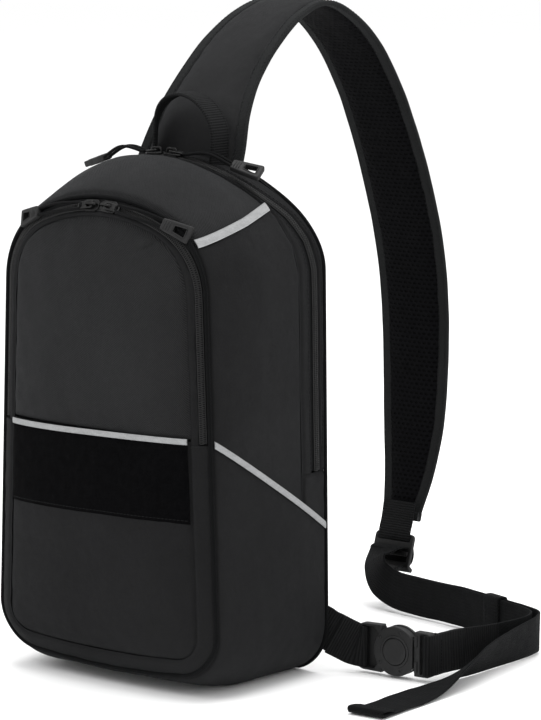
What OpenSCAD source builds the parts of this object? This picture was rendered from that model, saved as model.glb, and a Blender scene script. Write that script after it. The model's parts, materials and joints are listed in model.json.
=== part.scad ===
// Sling backpack with one padded shoulder strap. The front faces -Y, +Z is up,
// and the origin is the middle of the flat bottom.

/* [Bag body] */
// Height of the body at its crown
bag_top = 376; // [372:1:380]
// Half the width of the body at its foot
bag_foot = 103; // [101:1:105]
// Half the width of the body at its shoulders
bag_shoulder = 100; // [98:1:102]
// Y of the back edge seam
back_y = 62; // [60:1:64]
// Y of the seam where the front pocket joins the body
front_y = -60; // [-62:1:-59]
// Thickness of the padded fabric walls
wall = 2.6; // [2:0.2:3.2]

/* [Front pocket] */
// Height of the pocket's outer seam at its crown
pocket_top = 351; // [349:1:353]
// Height of the lower end of that seam
pocket_low = 13; // [11:1:15]
// Half the width of the pocket at its foot
pocket_foot = 102; // [100:1:102]
// How far the sloping gusset comes in all round
gusset_in = 13.5; // [12:0.5:15]
// How far the sloping gusset comes forward
gusset_out = 7; // [6:0.5:8]
// Height of the reflective tape, where the pocket flap folds
fold_z = 187; // [185:1:190]

/* [Strap] */
// Thickness of the strap's foam and cover
strap_t = 7; // [6:0.5:9]
// Width of the adjusting webbing
web_w = 30; // [28:1:30]
// Thickness of the adjusting webbing
web_t = 1.6; // [1.2:0.1:1.8]

/* [Hidden] */
$fn = 32;

cloth = [0.16, 0.16, 0.165];
twill = [0.19, 0.19, 0.195];
mesh_black = [0.05, 0.05, 0.055];
web_black = [0.09, 0.09, 0.09];
silver = [0.75, 0.76, 0.77];
nickel = [0.35, 0.34, 0.33];
plastic = [0.17, 0.17, 0.17];
lining = [0.3, 0.3, 0.31];

crest_y = -22;                  // in front of this the body narrows to the pocket's seam
bag = [bag_top, 115, 40, bag_shoulder, bag_foot, 0, 36];
pocket = [pocket_top, 150, 22, 93, pocket_foot, pocket_low, 32];
// Where the main zip lies, as [Y, Z]: upright along the sides, then forward over the crown
zip_tilt = 38.66;
zip_side_y = 44;
zip_end_z = 162;
zip_line = [[zip_side_y, zip_end_z], [zip_side_y, 300], [36, 336], [4, 376], [-8, 391]];
// The arc of the main zip over the crown lies in a plane tilted by zip_tilt
main_r = 96;
main_apex = [0, 4, bag_top - 1.2];
main_span = 100;
pocket_zip_r = pocket[1] - gusset_in / 2;
pocket_zip_y = front_y - gusset_out / 2;
pocket_slope = 90 - atan2(gusset_out, gusset_in);
slider_len = 13;
slider_gap = 1;

// ---- outlines ----
// An arched outline is [top, crown radius, crown half angle, shoulder, foot, bottom, foot radius].
function shoulder_r(o) = (o[3] - o[1] * sin(o[2])) / (1 - sin(o[2]));
function shoulder_c(o) = let (d = o[1] - shoulder_r(o)) [d * sin(o[2]), o[0] - o[1] + d * cos(o[2])];
function foot_c(o) = [o[4] - o[6], o[5] + o[6]];
function side_len(o) = norm(foot_c(o) - shoulder_c(o));
function side_angle(o) = let (d = foot_c(o) - shoulder_c(o))
    -atan2(d.y, d.x) - acos((shoulder_r(o) - o[6]) / side_len(o));
// Points of an outline as [X, Z, angle of the outward direction], from the foot on the right round to the left
function stop(cx, cz, r, a) = [cx + r * cos(a), cz + r * sin(a), a];
function fan(cx, cz, r, a0, a1, n) = [for (i = [0:n]) stop(cx, cz, r, a0 + (a1 - a0) * i / n)];
function mirrored(q) = [-q.x, q.y, 180 - q[2]];
function half_arch(o, d) = let (t = side_angle(o), f = foot_c(o), s = shoulder_c(o)) concat(
    fan(f.x, f.y, o[6] - d, -90, -t, 7),
    fan(s.x, s.y, shoulder_r(o) - d, -t, 90 - o[2], 8),
    [for (i = [1:crown_steps]) stop(0, o[0] - o[1], o[1] - d, 90 - o[2] + o[2] * i / crown_steps)]);
crown_steps = 7;
function stops(o, d = 0) = let (h = half_arch(o, d), n = len(h))
    concat(h, [for (i = [n - 2:-1:0]) mirrored(h[i])]);
function arch(o, d = 0) = [for (q = stops(o, d)) [q.x, q.y]];
// The point of the right-hand side at height z
function side_stop(o, z) = let (t = side_angle(o), f = foot_c(o), s = shoulder_c(o),
    a = stop(f.x, f.y, o[6], -t), b = stop(s.x, s.y, shoulder_r(o), -t), k = (z - a.y) / (b.y - a.y))
    [a.x + (b.x - a.x) * k, z, -t];
function stops_above(o, z) = concat([side_stop(o, z)], [for (q = stops(o)) if (q.y > z) q],
    [mirrored(side_stop(o, z))]);
function stops_below(o, z) = let (q = stops(o), c = side_stop(o, z)) concat([mirrored(c)],
    [for (p = q) if (p.y < z && p.x < 0) p], [for (p = q) if (p.y < z && p.x >= 0) p], [c]);

// ---- placing ----
// A front-view outline extruded from y0 to y1
module slab(pts, y0, y1) translate([0, y1, 0]) rotate([90, 0, 0]) linear_extrude(y1 - y0) polygon(pts);
// A side-view outline in [Y, Z], extruded from x0 to x1
module side_cut(pts, x0, x1) translate([x0, 0, 0]) rotate([90, 0, 90]) linear_extrude(x1 - x0) polygon(pts);
module from_front(depth, y) translate([0, y, 0]) rotate([90, 0, 0]) linear_extrude(depth) children();
// A sector of a degrees about an axis along Y, centred phi degrees to the left of the top.
// The section is [outward, forward] and turns by slope.
module sector(r, a, phi, slope) rotate([90, 0, 0]) rotate([0, 0, 90 + phi - a / 2])
    rotate_extrude(angle = a, $fn = 180) translate([r, 0]) rotate(slope) children();
module above(z) intersection() {
    children();
    translate([-200, -200, z]) cube([400, 400, 400]);
}
module below(z) intersection() {
    children();
    translate([-200, -200, z - 400]) cube([400, 400, 400]);
}
// A solid through a list of cross-sections with the same number of points, or a ring of them
module loft(s, ring = false) {
    n = len(s);
    k = len(s[0]);
    last = ring ? n - 1 : n - 2;
    ends = ring ? [] : [[for (j = [0:k - 1]) j], [for (j = [k - 1:-1:0]) (n - 1) * k + j]];
    polyhedron(points = [for (row = s) each row], convexity = 8, faces = concat(ends,
        [for (i = [0:last]) for (j = [0:k - 1]) [i * k + j, (i + 1) % n * k + j, (i + 1) % n * k + (j + 1) % k]],
        [for (i = [0:last]) for (j = [0:k - 1]) [i * k + j, (i + 1) % n * k + (j + 1) % k, i * k + (j + 1) % k]]));
}
// A section [outward, forward] placed at each stop of an outline whose plane is at y
function sweep(list, y, section) = [for (q = list) [for (c = section)
    [q.x + c.x * cos(q[2]), y - c.y, q.y + c.x * sin(q[2])]]];
function unit(v) = v / norm(v);
function plate(p, u, v, a, b) = [p - u * a - v * b, p + u * a - v * b, p + u * a + v * b, p - u * a + v * b];
// Smooth points through p, m steps a span
function at(p, i) = p[max(0, min(len(p) - 1, i))];
function bend(a, b, c, d, t) = 0.5 * (2 * b + (c - a) * t + (2 * a - 5 * b + 4 * c - d) * t * t
    + (3 * b - a - 3 * c + d) * t * t * t);
function smooth(p, m) = concat(
    [for (i = [0:len(p) - 2]) for (j = [0:m - 1]) bend(at(p, i - 1), p[i], p[i + 1], at(p, i + 2), j / m)],
    [p[len(p) - 1]]);

// ---- body shell ----
module envelope(d, back) {
    slab(arch(bag, d), crest_y, back);
    hull() {
        slab(arch(bag, d), crest_y, crest_y + 0.5);
        slab(arch(pocket, d), front_y, front_y + 0.5);
    }
}
module shell() difference() {
    envelope(0, back_y);
    envelope(wall, back_y + 1);
    slab(arch(pocket, wall), front_y - 1, crest_y);
}
// The strip of the body between two distances behind the main zip line
module zip_strip(a, b) side_cut(concat([for (p = zip_line) p + [a, 0]],
    [for (i = [len(zip_line) - 1:-1:0]) zip_line[i] + [b, 0]]), -150, 150);
lower_tape = [[-80, 203], [80, 107]];
upper_tape = [[-70, 319.5], [40, 364]];
tape_w = 5;
module under(line, d) side_cut([line[0] - [0, 400], line[1] - [0, 400], line[1] + [0, d], line[0] + [0, d]],
    -150, 150);
module front_shell() difference() {
    shell();
    zip_strip(-17, 200);
    translate([-150, zip_side_y - 17, -1]) cube([300, 100, zip_end_z + 2]);
}
module top_panel() color(twill) difference() {
    front_shell();
    under(upper_tape, 0);
}
module side_panel() difference() {
    intersection() {
        front_shell();
        under(upper_tape, 0);
        translate([0, -150, 0]) cube([150, 300, 400]);
    }
    under(lower_tape, 0);
}
module right_side_panel() color(cloth) side_panel();
module left_side_panel() color(cloth) mirror([1, 0, 0]) side_panel();
module lower_shell() color(cloth) union() {
    intersection() {
        shell();
        under(lower_tape, 0);
        translate([-150, -100, -1]) cube([300, 100 + zip_side_y - 17, 400]);
    }
    intersection() {
        shell();
        translate([-150, zip_side_y - 17.01, -1]) cube([300, 60, zip_end_z + 1]);
    }
}
module main_zip_gusset() color(cloth) intersection() {
    shell();
    zip_strip(-17, -8.2);
}
module rear_gusset() color(cloth) intersection() {
    shell();
    zip_strip(6, 100);
}
module back_panel() color(cloth) slab(arch(bag, wall + 0.1), back_y - 4, back_y - 0.1);
module back_pads() color(mesh_black) {
    for (m = [0, 1]) mirror([m, 0, 0]) slab([for (p = arch([330, 40, 30, 36, 36, 46, 16])) p + [50, 0]],
        back_y - 0.1, back_y + 6);
}
module front_wall() color(lining) slab(arch(pocket, wall + 0.1), front_y + 1, front_y + 2.6);
module tablet_sleeve() color(lining) from_front(2, back_y - 14)
    polygon([[-84, 12], [84, 12], [84, 250], [70, 262], [-70, 262], [-84, 250]]);

// ---- reflective tapes on the sides ----
module tape_strip(line) intersection() {
    difference() {
        envelope(-0.9, back_y);
        envelope(-0.1, back_y + 1);
    }
    difference() {
        under(line, tape_w / 2);
        under(line, -tape_w / 2);
    }
}
module right_of(x) intersection() {
    children();
    translate([x, -56, 0]) cube([100, 200, 400]);
}
module lower_tape_right() color(silver) right_of(20) tape_strip(lower_tape);
module lower_tape_left() color(silver) mirror([1, 0, 0]) lower_tape_right();
module upper_tape_right() color(silver) difference() {
    right_of(55) tape_strip(upper_tape);
    zip_strip(-17, 200);
}
module upper_tape_left() color(silver) mirror([1, 0, 0]) upper_tape_right();

// ---- main zip ----
// A section swept about the zip's axis over the crown, a degrees wide and phi degrees to the left
module crown(a, phi = 0) translate(main_apex) rotate([zip_tilt, 0, 0]) translate([0, 0, -main_r])
    sector(main_r, a, phi, -zip_tilt) children();
// Stations of the main zip from the foot of its left side to the foot of its right side, as
// [point, direction out of the tape]
function turned(v, a) = [v.x * cos(a) + v.z * sin(a), v.y, v.z * cos(a) - v.x * sin(a)];
function tilted(v) = [v.x, v.y * cos(zip_tilt) - v.z * sin(zip_tilt), v.y * sin(zip_tilt) + v.z * cos(zip_tilt)];
function crown_station(a) = [main_apex + tilted(turned([0, 0, main_r], a) - [0, 0, main_r]),
    tilted(turned([0, sin(zip_tilt), cos(zip_tilt)], a))];
function side_station(z) = [[bag_shoulder + (z < 200 ? 1 : 0), zip_side_y, z], [1, 0, 0]];
function shoulder_station(a) = let (c = shoulder_c(bag), r = shoulder_r(bag), z = c.y + r * sin(a))
    [[c.x + r * cos(a), lookup(z, [for (p = zip_line) [p.y, p.x]]), z], [cos(a), 0, sin(a)]];
right_stations = concat([for (a = [40:-10:10]) shoulder_station(a)], [side_station(290), side_station(zip_end_z)]);
main_stations = concat(
    [for (i = [len(right_stations) - 1:-1:0]) [for (v = right_stations[i]) [-v.x, v.y, v.z]]],
    [for (a = [-main_span / 2:main_span / 24:main_span / 2 + 0.01]) crown_station(a)],
    right_stations);
function main_across(i) = unit(cross(main_stations[i][1],
    at(main_stations, i + 1)[0] - at(main_stations, i - 1)[0]));
// A bead along the main zip from h0 to h1 above the tape and from w0 to w1 behind its middle
module main_bead(h0, h1, w0, w1) loft([for (i = [0:len(main_stations) - 1]) let (q = main_stations[i])
    [for (c = [[h0, w0], [h0, w1], [h1, w1], [h1, w0]]) q[0] + q[1] * c.x + main_across(i) * c.y]]);
module main_zip_tape() color(web_black) for (w = [-5.6, 1]) main_bead(-1.6, -0.8, w, w + 4.6);
module main_zip_coils() color(mesh_black) for (w = [-2.8, 1]) main_bead(-0.6, 0.9, w, w + 1.8);

// ---- front pocket ----
inner = [pocket_top - gusset_in, pocket[1] - gusset_in, pocket[2], pocket[3] - gusset_in,
    pocket_foot - gusset_in, pocket_low + gusset_in, pocket[6] - gusset_in];
panel_y = front_y - gusset_out;
panel_t = 3.6;
slope_len = norm([gusset_in, gusset_out]);
// A section lying on the sloping gusset: from a to b along it and from h0 to h1 above it.
// The distance along runs from the outer seam inwards.
function on_gusset(a, b, h0, h1) = [for (c = [[h0, a], [h1, a], [h1, b], [h0, b]])
    [c.x * cos(pocket_slope) - c.y * sin(pocket_slope), c.x * sin(pocket_slope) + c.y * cos(pocket_slope)]];
zip_mid = slope_len / 2;
seam_in = 3.2;                  // where the gusset starts, clear of the shell's edge
upper_stops = stops_above(pocket, fold_z + 1);
lower_stops = stops_below(pocket, fold_z - 0.5);
module upper_band(a, b, h0, h1) loft(sweep(upper_stops, front_y, on_gusset(a, b, h0, h1)));
module pocket_gusset() color(cloth)
    loft(sweep(lower_stops, front_y, on_gusset(seam_in, slope_len - 0.4, -1.4, 0)));
module pocket_lower_panel() color(cloth) below(fold_z - 0.5) slab(arch(inner), panel_y - panel_t, panel_y - 0.3);
module flap_panel() color(twill) above(fold_z + 0.4) slab(arch(inner), panel_y - panel_t, panel_y - 0.3);
module flap_gusset() color(cloth) upper_band(zip_mid + 5.4, slope_len - 0.4, -1.4, 0);
module pocket_zip_tape() color(web_black) upper_band(zip_mid - 5.3, zip_mid - 1, -1.4, -0.6);
module pocket_zip_coil() color(mesh_black) upper_band(zip_mid - 2.8, zip_mid - 1, -0.5, 1);
module flap_zip_tape() color(web_black) upper_band(zip_mid + 1, zip_mid + 5.3, -1.4, -0.6);
module flap_zip_coil() color(mesh_black) upper_band(zip_mid + 1, zip_mid + 2.8, -0.5, 1);
module pocket_piping() color(mesh_black) loft(sweep(stops(pocket), front_y,
    [for (a = [0:60:300]) [-1.1 + 1.3 * cos(a), 1.5 + 1.3 * sin(a)]]), ring = true);
patch_low = 127;
module loop_patch() color(mesh_black) from_front(1.2, panel_y - panel_t - 0.1)
    translate([-84, patch_low]) square([168, fold_z - 3 - patch_low]);
module front_tape() color(silver) from_front(0.9, panel_y - panel_t - 0.1)
    translate([-84, fold_z - 2.9]) square([168, 2.4]);
organiser_y = front_y - 0.4;
module organiser_pocket(x, w, h) translate([x, 0, 0]) {
    from_front(1.2, organiser_y - 1.4) translate([-w / 2, 60]) square([w, h]);
}
module pocket_organiser() color(lining) {
    from_front(1.2, organiser_y) polygon([[-70, 56], [70, 56], [70, 262], [-70, 262]]);
    organiser_pocket(-36, 62, 118);
    organiser_pocket(18, 34, 142);
    organiser_pocket(53, 26, 156);
}

// ---- zip sliders, in the plane of a section [above the tape, across] and along an arc ----
module slider_parts(under_both) {
    w = under_both ? 4 : 0.5;
    translate([1.4, -4]) square([1, 8]);
    translate([-3.1, -0.5]) square([5, 1]);
    translate([-3.1, -4]) square([1.1, w + 4]);
}
// The bridge's two posts and its roof, in the same section
module slider_post() translate([2.3, -0.7]) square([roof_h - 1.3, 1.4]);
module slider_roof() translate([roof_h, -0.7]) square([1.2, 1.4]);
roof_h = 5.4;
function arc_deg(len, r) = len / r * 180 / PI;
module main_slider(side) {
    a = arc_deg(slider_len, main_r);
    phi = side * (arc_deg(slider_gap, main_r) + a) / 2;
    color(nickel) {
        crown(a, phi) slider_parts(true);
        for (s = [-0.36, 0.36]) crown(a * 0.14, phi + s * a) slider_post();
        crown(a * 0.86, phi) slider_roof();
    }
}
module pocket_arc(a, phi) translate([0, pocket_zip_y, pocket_top - pocket[1]])
    sector(pocket_zip_r, a, phi, pocket_slope) children();
module pocket_slider(side) {
    a = arc_deg(slider_len, pocket_zip_r);
    phi = side * (arc_deg(slider_gap, pocket_zip_r) + a) / 2;
    color(nickel) {
        pocket_arc(a, phi) mirror([0, 1]) slider_parts(false);
        for (s = [-0.36, 0.36]) pocket_arc(a * 0.14, phi + s * a) slider_post();
        pocket_arc(a * 0.86, phi) slider_roof();
    }
}
// A pull lies in its own plane: x away from the slider, y across and z above the zip.
// Its first bend passes through the slider's bridge.
cord_r = 1;
strand = 2.6;                   // each strand of the loop is this far from its middle
module pull_cord(len) {
    for (s = [-1, 1]) translate([strand, strand * s, 0]) rotate([0, 90, 0])
        cylinder(h = len + 0.9 - strand, r = cord_r, $fn = 16);
    translate([strand, 0, 0]) rotate([0, 0, 90]) rotate_extrude(angle = 180, $fn = 32)
        translate([strand, 0]) circle(cord_r, $fn = 16);
}
module pull_grip(from, len) difference() {
    hull() {
        translate([from, -4.2, -2.3]) cube([1, 8.4, 4.6]);
        translate([from + len - 3, -6.2, -2.3]) cube([3, 12.4, 4.6]);
    }
    translate([from + 8, -2.6, -5]) cube([len - 12, 5.2, 10]);
    for (s = [-1, 1]) translate([from - 1, strand * s, 0]) rotate([0, 90, 0])
        cylinder(h = 6, r = cord_r + 0.02, $fn = 16);
}
// Places a pull on the left of an arc: lift is its height over the tape at the bridge
pull_lift = 4.1;
main_pull_deg = (arc_deg(slider_gap, main_r) + arc_deg(slider_len, main_r)) / 2;
pocket_pull_deg = (arc_deg(slider_gap, pocket_zip_r) + arc_deg(slider_len, pocket_zip_r)) / 2;
module on_main_arc(side) translate(main_apex) rotate([zip_tilt, 0, 0]) translate([0, 0, -main_r])
    rotate([0, -side * main_pull_deg, 0]) translate([0, 0, main_r]) rotate([-zip_tilt, 0, 0])
    mirror([side > 0 ? 1 : 0, 0, 0]) translate([0, 0, pull_lift]) rotate([0, 5, 7]) children();
module on_pocket_arc(side) translate([0, pocket_zip_y, pocket_top - pocket[1]])
    rotate([0, -side * pocket_pull_deg, 0]) translate([0, 0, pocket_zip_r]) rotate([pocket_slope, 0, 0])
    mirror([side > 0 ? 1 : 0, 0, 0]) translate([0, 0, pull_lift]) rotate([0, 4, -8]) children();
main_cord_len = 38;
pocket_cord_len = 40;
grip_len = 22;
module main_pull_cord(side) color(mesh_black) on_main_arc(side) pull_cord(main_cord_len);
module main_pull_grip(side) color(plastic) on_main_arc(side) pull_grip(main_cord_len - 4, grip_len);
module pocket_pull_cord(side) color(mesh_black) on_pocket_arc(side) pull_cord(pocket_cord_len);
module pocket_pull_grip(side) color(plastic) on_pocket_arc(side) pull_grip(pocket_cord_len - 4, grip_len);
module main_slider_left() main_slider(1);
module main_slider_right() main_slider(-1);
module pocket_slider_left() pocket_slider(1);
module pocket_slider_right() pocket_slider(-1);
module main_cord_left() main_pull_cord(1);
module main_cord_right() main_pull_cord(-1);
module main_grip_left() main_pull_grip(1);
module main_grip_right() main_pull_grip(-1);
module pocket_cord_left() pocket_pull_cord(1);
module pocket_cord_right() pocket_pull_cord(-1);
module pocket_grip_left() pocket_pull_grip(1);
module pocket_grip_right() pocket_pull_grip(-1);

// ---- grab handle: an arch of webbing standing on the crown ----
handle_y = 24;
handle_x = 4;
handle_r = 29;
handle_w = 20;
handle_t = 2.4;
handle_z = bag_top + 12;
handle_stops = concat([[handle_r, bag_top + 2, 0]], fan(0, handle_z, handle_r, 0, 180, 18), [[-handle_r, bag_top + 2, 180]]);
module grab_handle() color(web_black) translate([handle_x, 0, 0]) loft(sweep(handle_stops, handle_y,
    [[0, -handle_w / 2], [handle_t, -handle_w / 2], [handle_t, handle_w / 2], [0, handle_w / 2]]));

// ---- shoulder strap ----
// Centreline as [Y, Z, half width], from the seam on the crown over the top to the lower end
strap_line = [[38, 379, 45], [47, 402, 44], [66, 428, 39], [92, 452, 36], [122, 470, 33], [155, 478, 31],
    [187, 467, 31.5], [218, 443, 32], [244, 409, 32], [264, 372, 32.5], [281, 332, 33], [296, 286, 33],
    [304, 240, 32.5], [306, 190, 31.5], [304, 140, 29], [298, 100, 24], [288, 66, 19]];
strap_run = smooth(strap_line, 2);
function strap_out(i) = let (d = unit([at(strap_run, i + 1).x - at(strap_run, i - 1).x,
    at(strap_run, i + 1).y - at(strap_run, i - 1).y])) [0, -d.y, d.x];
module strap_layer(inset, h0, h1) loft([for (i = [0:len(strap_run) - 1])
    let (p = strap_run[i], n = strap_out(i), c = [0, p.x, p.y] + n * (h0 + h1) / 2)
    plate(c, [1, 0, 0], n, p[2] - inset, (h1 - h0) / 2)]);
module strap_pad() color(cloth) strap_layer(0, -strap_t / 2, strap_t / 2);
module strap_mesh() color(mesh_black) strap_layer(7, -strap_t / 2 - 1.6, -strap_t / 2 - 0.1);
strap_foot = strap_line[len(strap_line) - 1];
lock_y = strap_foot.x - 4;
lock_z = 44;
module strap_end_tab() color(web_black) loft([for (p = [[strap_foot.x - 1, strap_foot.y + 24], [strap_foot.x - 5, strap_foot.y],
    [lock_y, lock_z + 12.4]]) plate([0, p.x - 6, p.y], [1, 0, 0], [0, 1, 0], web_w / 2, 0.8)]);

// ---- ladder lock ----
module ladder_lock() color(plastic) translate([0, lock_y - 5.8, lock_z]) rotate([-18, 0, 0]) {
    difference() {
        translate([-18.5, -1.6, -14]) cube([37, 3.4, 26]);
        translate([-web_w / 2 - 0.6, -6, 5.6]) cube([web_w + 1.2, 12, 3.2]);
        translate([-web_w / 2 - 0.6, -6, -10.4]) cube([web_w + 1.2, 12, 11.6]);
    }
    translate([-web_w / 2 - 1, -2.6, -5.6]) cube([web_w + 2, 4.4, 3.6]);
    translate([-18.5, 1.6, -17]) cube([37, 4, 3.4]);
}

// ---- webbing on the floor ----
// Route of the webbing's middle as [X, Y, Z, lean]; lean 0 stands on edge, 90 lies flat
web_z = web_w / 2 + 1.6;
keeper_c = [134, 228.6];
keeper_turn = -16.5;
// A point of a straight run through the keeper, d along it and off beside its middle
function by_keeper(d, off) = [keeper_c.x + d * cos(keeper_turn) - off * sin(keeper_turn),
    keeper_c.y + d * sin(keeper_turn) + off * cos(keeper_turn), web_z, 0];
main_off = -1.8;
free_off = 1.8;
main_route = [[8, 256, 23, 34], [24, 250.5, web_z, 8], [50, 246, web_z, 0], [78, 242, web_z, 0],
    by_keeper(-32, main_off), by_keeper(-15, main_off), by_keeper(15, main_off), by_keeper(32, main_off),
    [180, 209, web_z, 0], [187, 194, web_z, 0], [187, 174, web_z, 0], [182, 152, web_z, 0],
    [177.5, 130, web_z, 0], [177, 97, web_z, 0]];
free_route = [by_keeper(-42, free_off), by_keeper(-15, free_off), by_keeper(15, free_off),
    by_keeper(32, free_off), [184, 213, web_z, 0], [191.5, 197, web_z, 0], [192, 177, web_z, 4],
    [191, 158, web_z - 1, 22], [192, 140, 11.4, 48], [195, 122, 5.6, 72], [198, 104, 1.6, 88],
    [199, 84, 1.4, 90], [199, 60, 1.4, 90], [199, 34, 1.4, 90], [200, 8, 1.4, 90], [201, -18, 1.4, 90]];
function side_of(p, i) = let (d = unit([at(p, i + 1).x - at(p, i - 1).x, at(p, i + 1).y - at(p, i - 1).y]))
    [d.y, -d.x, 0];
// Width direction of the webbing: up when it stands, to its outer side when it lies
function across(p, i) = let (s = side_of(p, i), a = p[i][3]) s * sin(a) + [0, 0, -cos(a)];
function ribbon(p, i, w, t) = let (v = across(p, i), d = at(p, i + 1) - at(p, i - 1),
    n = unit(cross([d.x, d.y, d.z], v))) plate([p[i].x, p[i].y, p[i].z], v, n, w / 2, t / 2);
module webbing(route, steps, w, t) {
    p = smooth(route, steps);
    loft([for (i = [0:len(p) - 1]) ribbon(p, i, w, t)]);
}
module main_webbing() color(web_black) webbing(main_route, 3, web_w, web_t);
module free_webbing() color(web_black) {
    webbing(free_route, 3, web_w, web_t);
    translate([186.2, -22.4, 0.6]) cube([29.6, 4, 4]);
}
module keeper() color(web_black) translate([keeper_c.x, keeper_c.y, 0]) rotate([0, 0, keeper_turn]) difference() {
    translate([-9, -4.6, 0.2]) cube([18, 9.2, web_w + 3.2]);
    translate([-10, -3.4, 1.2]) cube([20, 6.8, web_w + 0.8]);
}

// ---- buckle: centre-release, standing on edge on the floor ----
buckle_c = [150, 86];
buckle_z = 19.6;
buckle_turn = 4;
module in_buckle() translate([buckle_c.x, buckle_c.y, buckle_z]) rotate([0, 0, buckle_turn]) children();
// A rounded outline seen from the buckle's face, extruded from y0 to y1 with the face at -Y
module face_on(y0, y1) translate([0, y1, 0]) rotate([90, 0, 0]) linear_extrude(y1 - y0) children();
button_r = 9.75;
module buckle_female() color(plastic) in_buckle() difference() {
    union() {
        face_on(-5, 5) intersection() {
            circle(18.2, $fn = 96);
            translate([-30, -18.2]) square([45, 36.4]);
        }
        face_on(-4, 3.4) polygon([[-33, -17], [-12, -18], [-12, 18], [-33, 17]]);
    }
    // webbing slot, with its bar at the outer end
    translate([-28.4, -6, -15.4]) cube([9, 12, 30.8]);
    // mouth for the other half's tongue
    translate([-9, -2.6, -11.4]) cube([30, 5.2, 22.8]);
    // well of the push button
    rotate([90, 0, 0]) cylinder(h = 8, r = button_r + 0.25, $fn = 96);
}
module release_button() color(plastic) in_buckle() translate([0, -3.6, 0]) rotate([90, 0, 0])
    cylinder(h = 2.4, r = button_r, $fn = 96);
module buckle_male() color(plastic) in_buckle() difference() {
    union() {
        translate([-6, -2.2, -10.8]) cube([24, 4.4, 21.6]);
        face_on(-4, 4) polygon([[15.5, -16.6], [29, -16.6], [29, 16.6], [15.5, 16.6]]);
    }
    translate([20.6, -6, -15.2]) cube([4.8, 12, 30.4]);
}
bag_web_w = 32;
module bag_webbing() color(web_black) loft([for (p = [[99, 63.6, 34], [104, 67, 30], [110, 73.4, 25], [115, 79.9, 20.5]])
    plate([p.x, p.y, p.z], unit([0.1, 0.1, -1]), unit([0.7, -0.7, 0]), bag_web_w / 2 - 1, 0.8)]);

top_panel();
left_side_panel();
right_side_panel();
lower_shell();
main_zip_gusset();
rear_gusset();
back_panel();
back_pads();
front_wall();
tablet_sleeve();
main_zip_tape();
main_zip_coils();
pocket_gusset();
pocket_lower_panel();
loop_patch();
front_tape();
pocket_piping();
pocket_zip_tape();
pocket_zip_coil();
pocket_organiser();
upper_tape_left();
upper_tape_right();
lower_tape_left();
lower_tape_right();
flap_panel();
flap_gusset();
flap_zip_tape();
flap_zip_coil();
pocket_slider_left();
pocket_cord_left();
pocket_grip_left();
pocket_slider_right();
pocket_cord_right();
pocket_grip_right();
main_slider_left();
main_cord_left();
main_grip_left();
main_slider_right();
main_cord_right();
main_grip_right();
grab_handle();
strap_pad();
strap_mesh();
strap_end_tab();
ladder_lock();
bag_webbing();
buckle_female();
release_button();
buckle_male();
main_webbing();
free_webbing();
keeper();
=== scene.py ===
import json
import math

import bmesh
import bpy
import numpy as np
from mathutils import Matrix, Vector


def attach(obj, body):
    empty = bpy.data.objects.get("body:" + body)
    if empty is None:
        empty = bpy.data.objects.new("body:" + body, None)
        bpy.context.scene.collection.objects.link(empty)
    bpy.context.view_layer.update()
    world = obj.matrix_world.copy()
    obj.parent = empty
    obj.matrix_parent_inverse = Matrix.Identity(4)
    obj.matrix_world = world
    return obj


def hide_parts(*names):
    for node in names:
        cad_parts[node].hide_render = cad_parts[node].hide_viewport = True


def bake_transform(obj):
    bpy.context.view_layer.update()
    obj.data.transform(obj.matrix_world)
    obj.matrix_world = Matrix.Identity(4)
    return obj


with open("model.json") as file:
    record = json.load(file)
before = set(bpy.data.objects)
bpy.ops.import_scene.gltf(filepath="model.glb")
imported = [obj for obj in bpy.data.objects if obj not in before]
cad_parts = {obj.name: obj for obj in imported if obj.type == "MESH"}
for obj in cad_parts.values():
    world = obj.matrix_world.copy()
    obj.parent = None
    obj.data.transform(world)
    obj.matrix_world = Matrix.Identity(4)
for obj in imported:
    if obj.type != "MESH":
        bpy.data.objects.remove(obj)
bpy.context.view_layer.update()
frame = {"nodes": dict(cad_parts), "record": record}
MM = 0.001

# ---------------------------------------------------------------- materials
# Every texture uses the UV map, which is in millimetres along the cloth, or object space in metres.


class Value:
    """A shader value that takes part in arithmetic."""

    def __init__(self, graph, socket):
        self.graph, self.socket = graph, socket

    def op(self, name, other=None):
        n = self.graph.new("ShaderNodeMath", operation=name)
        self.graph.put(n.inputs[0], self)
        if other is not None:
            self.graph.put(n.inputs[1], other)
        return Value(self.graph, n.outputs[0])

    def span(self, a, b, c, d):
        """The value with a to b stretched to c to d."""
        n = self.graph.new("ShaderNodeMapRange")
        self.graph.put(n.inputs[0], self)
        for i, x in enumerate((a, b, c, d)):
            n.inputs[i + 1].default_value = x
        return Value(self.graph, n.outputs[0])


for method, operation in (("__add__", "ADD"), ("__sub__", "SUBTRACT"), ("__mul__", "MULTIPLY"), ("__mod__", "MODULO"),
                          ("__truediv__", "DIVIDE"), ("__abs__", "ABSOLUTE"), ("sin", "SINE"), ("floor", "FLOOR"),
                          ("fract", "FRACT")):
    setattr(Value, method, lambda self, other=None, operation=operation: self.op(operation, other))


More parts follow.
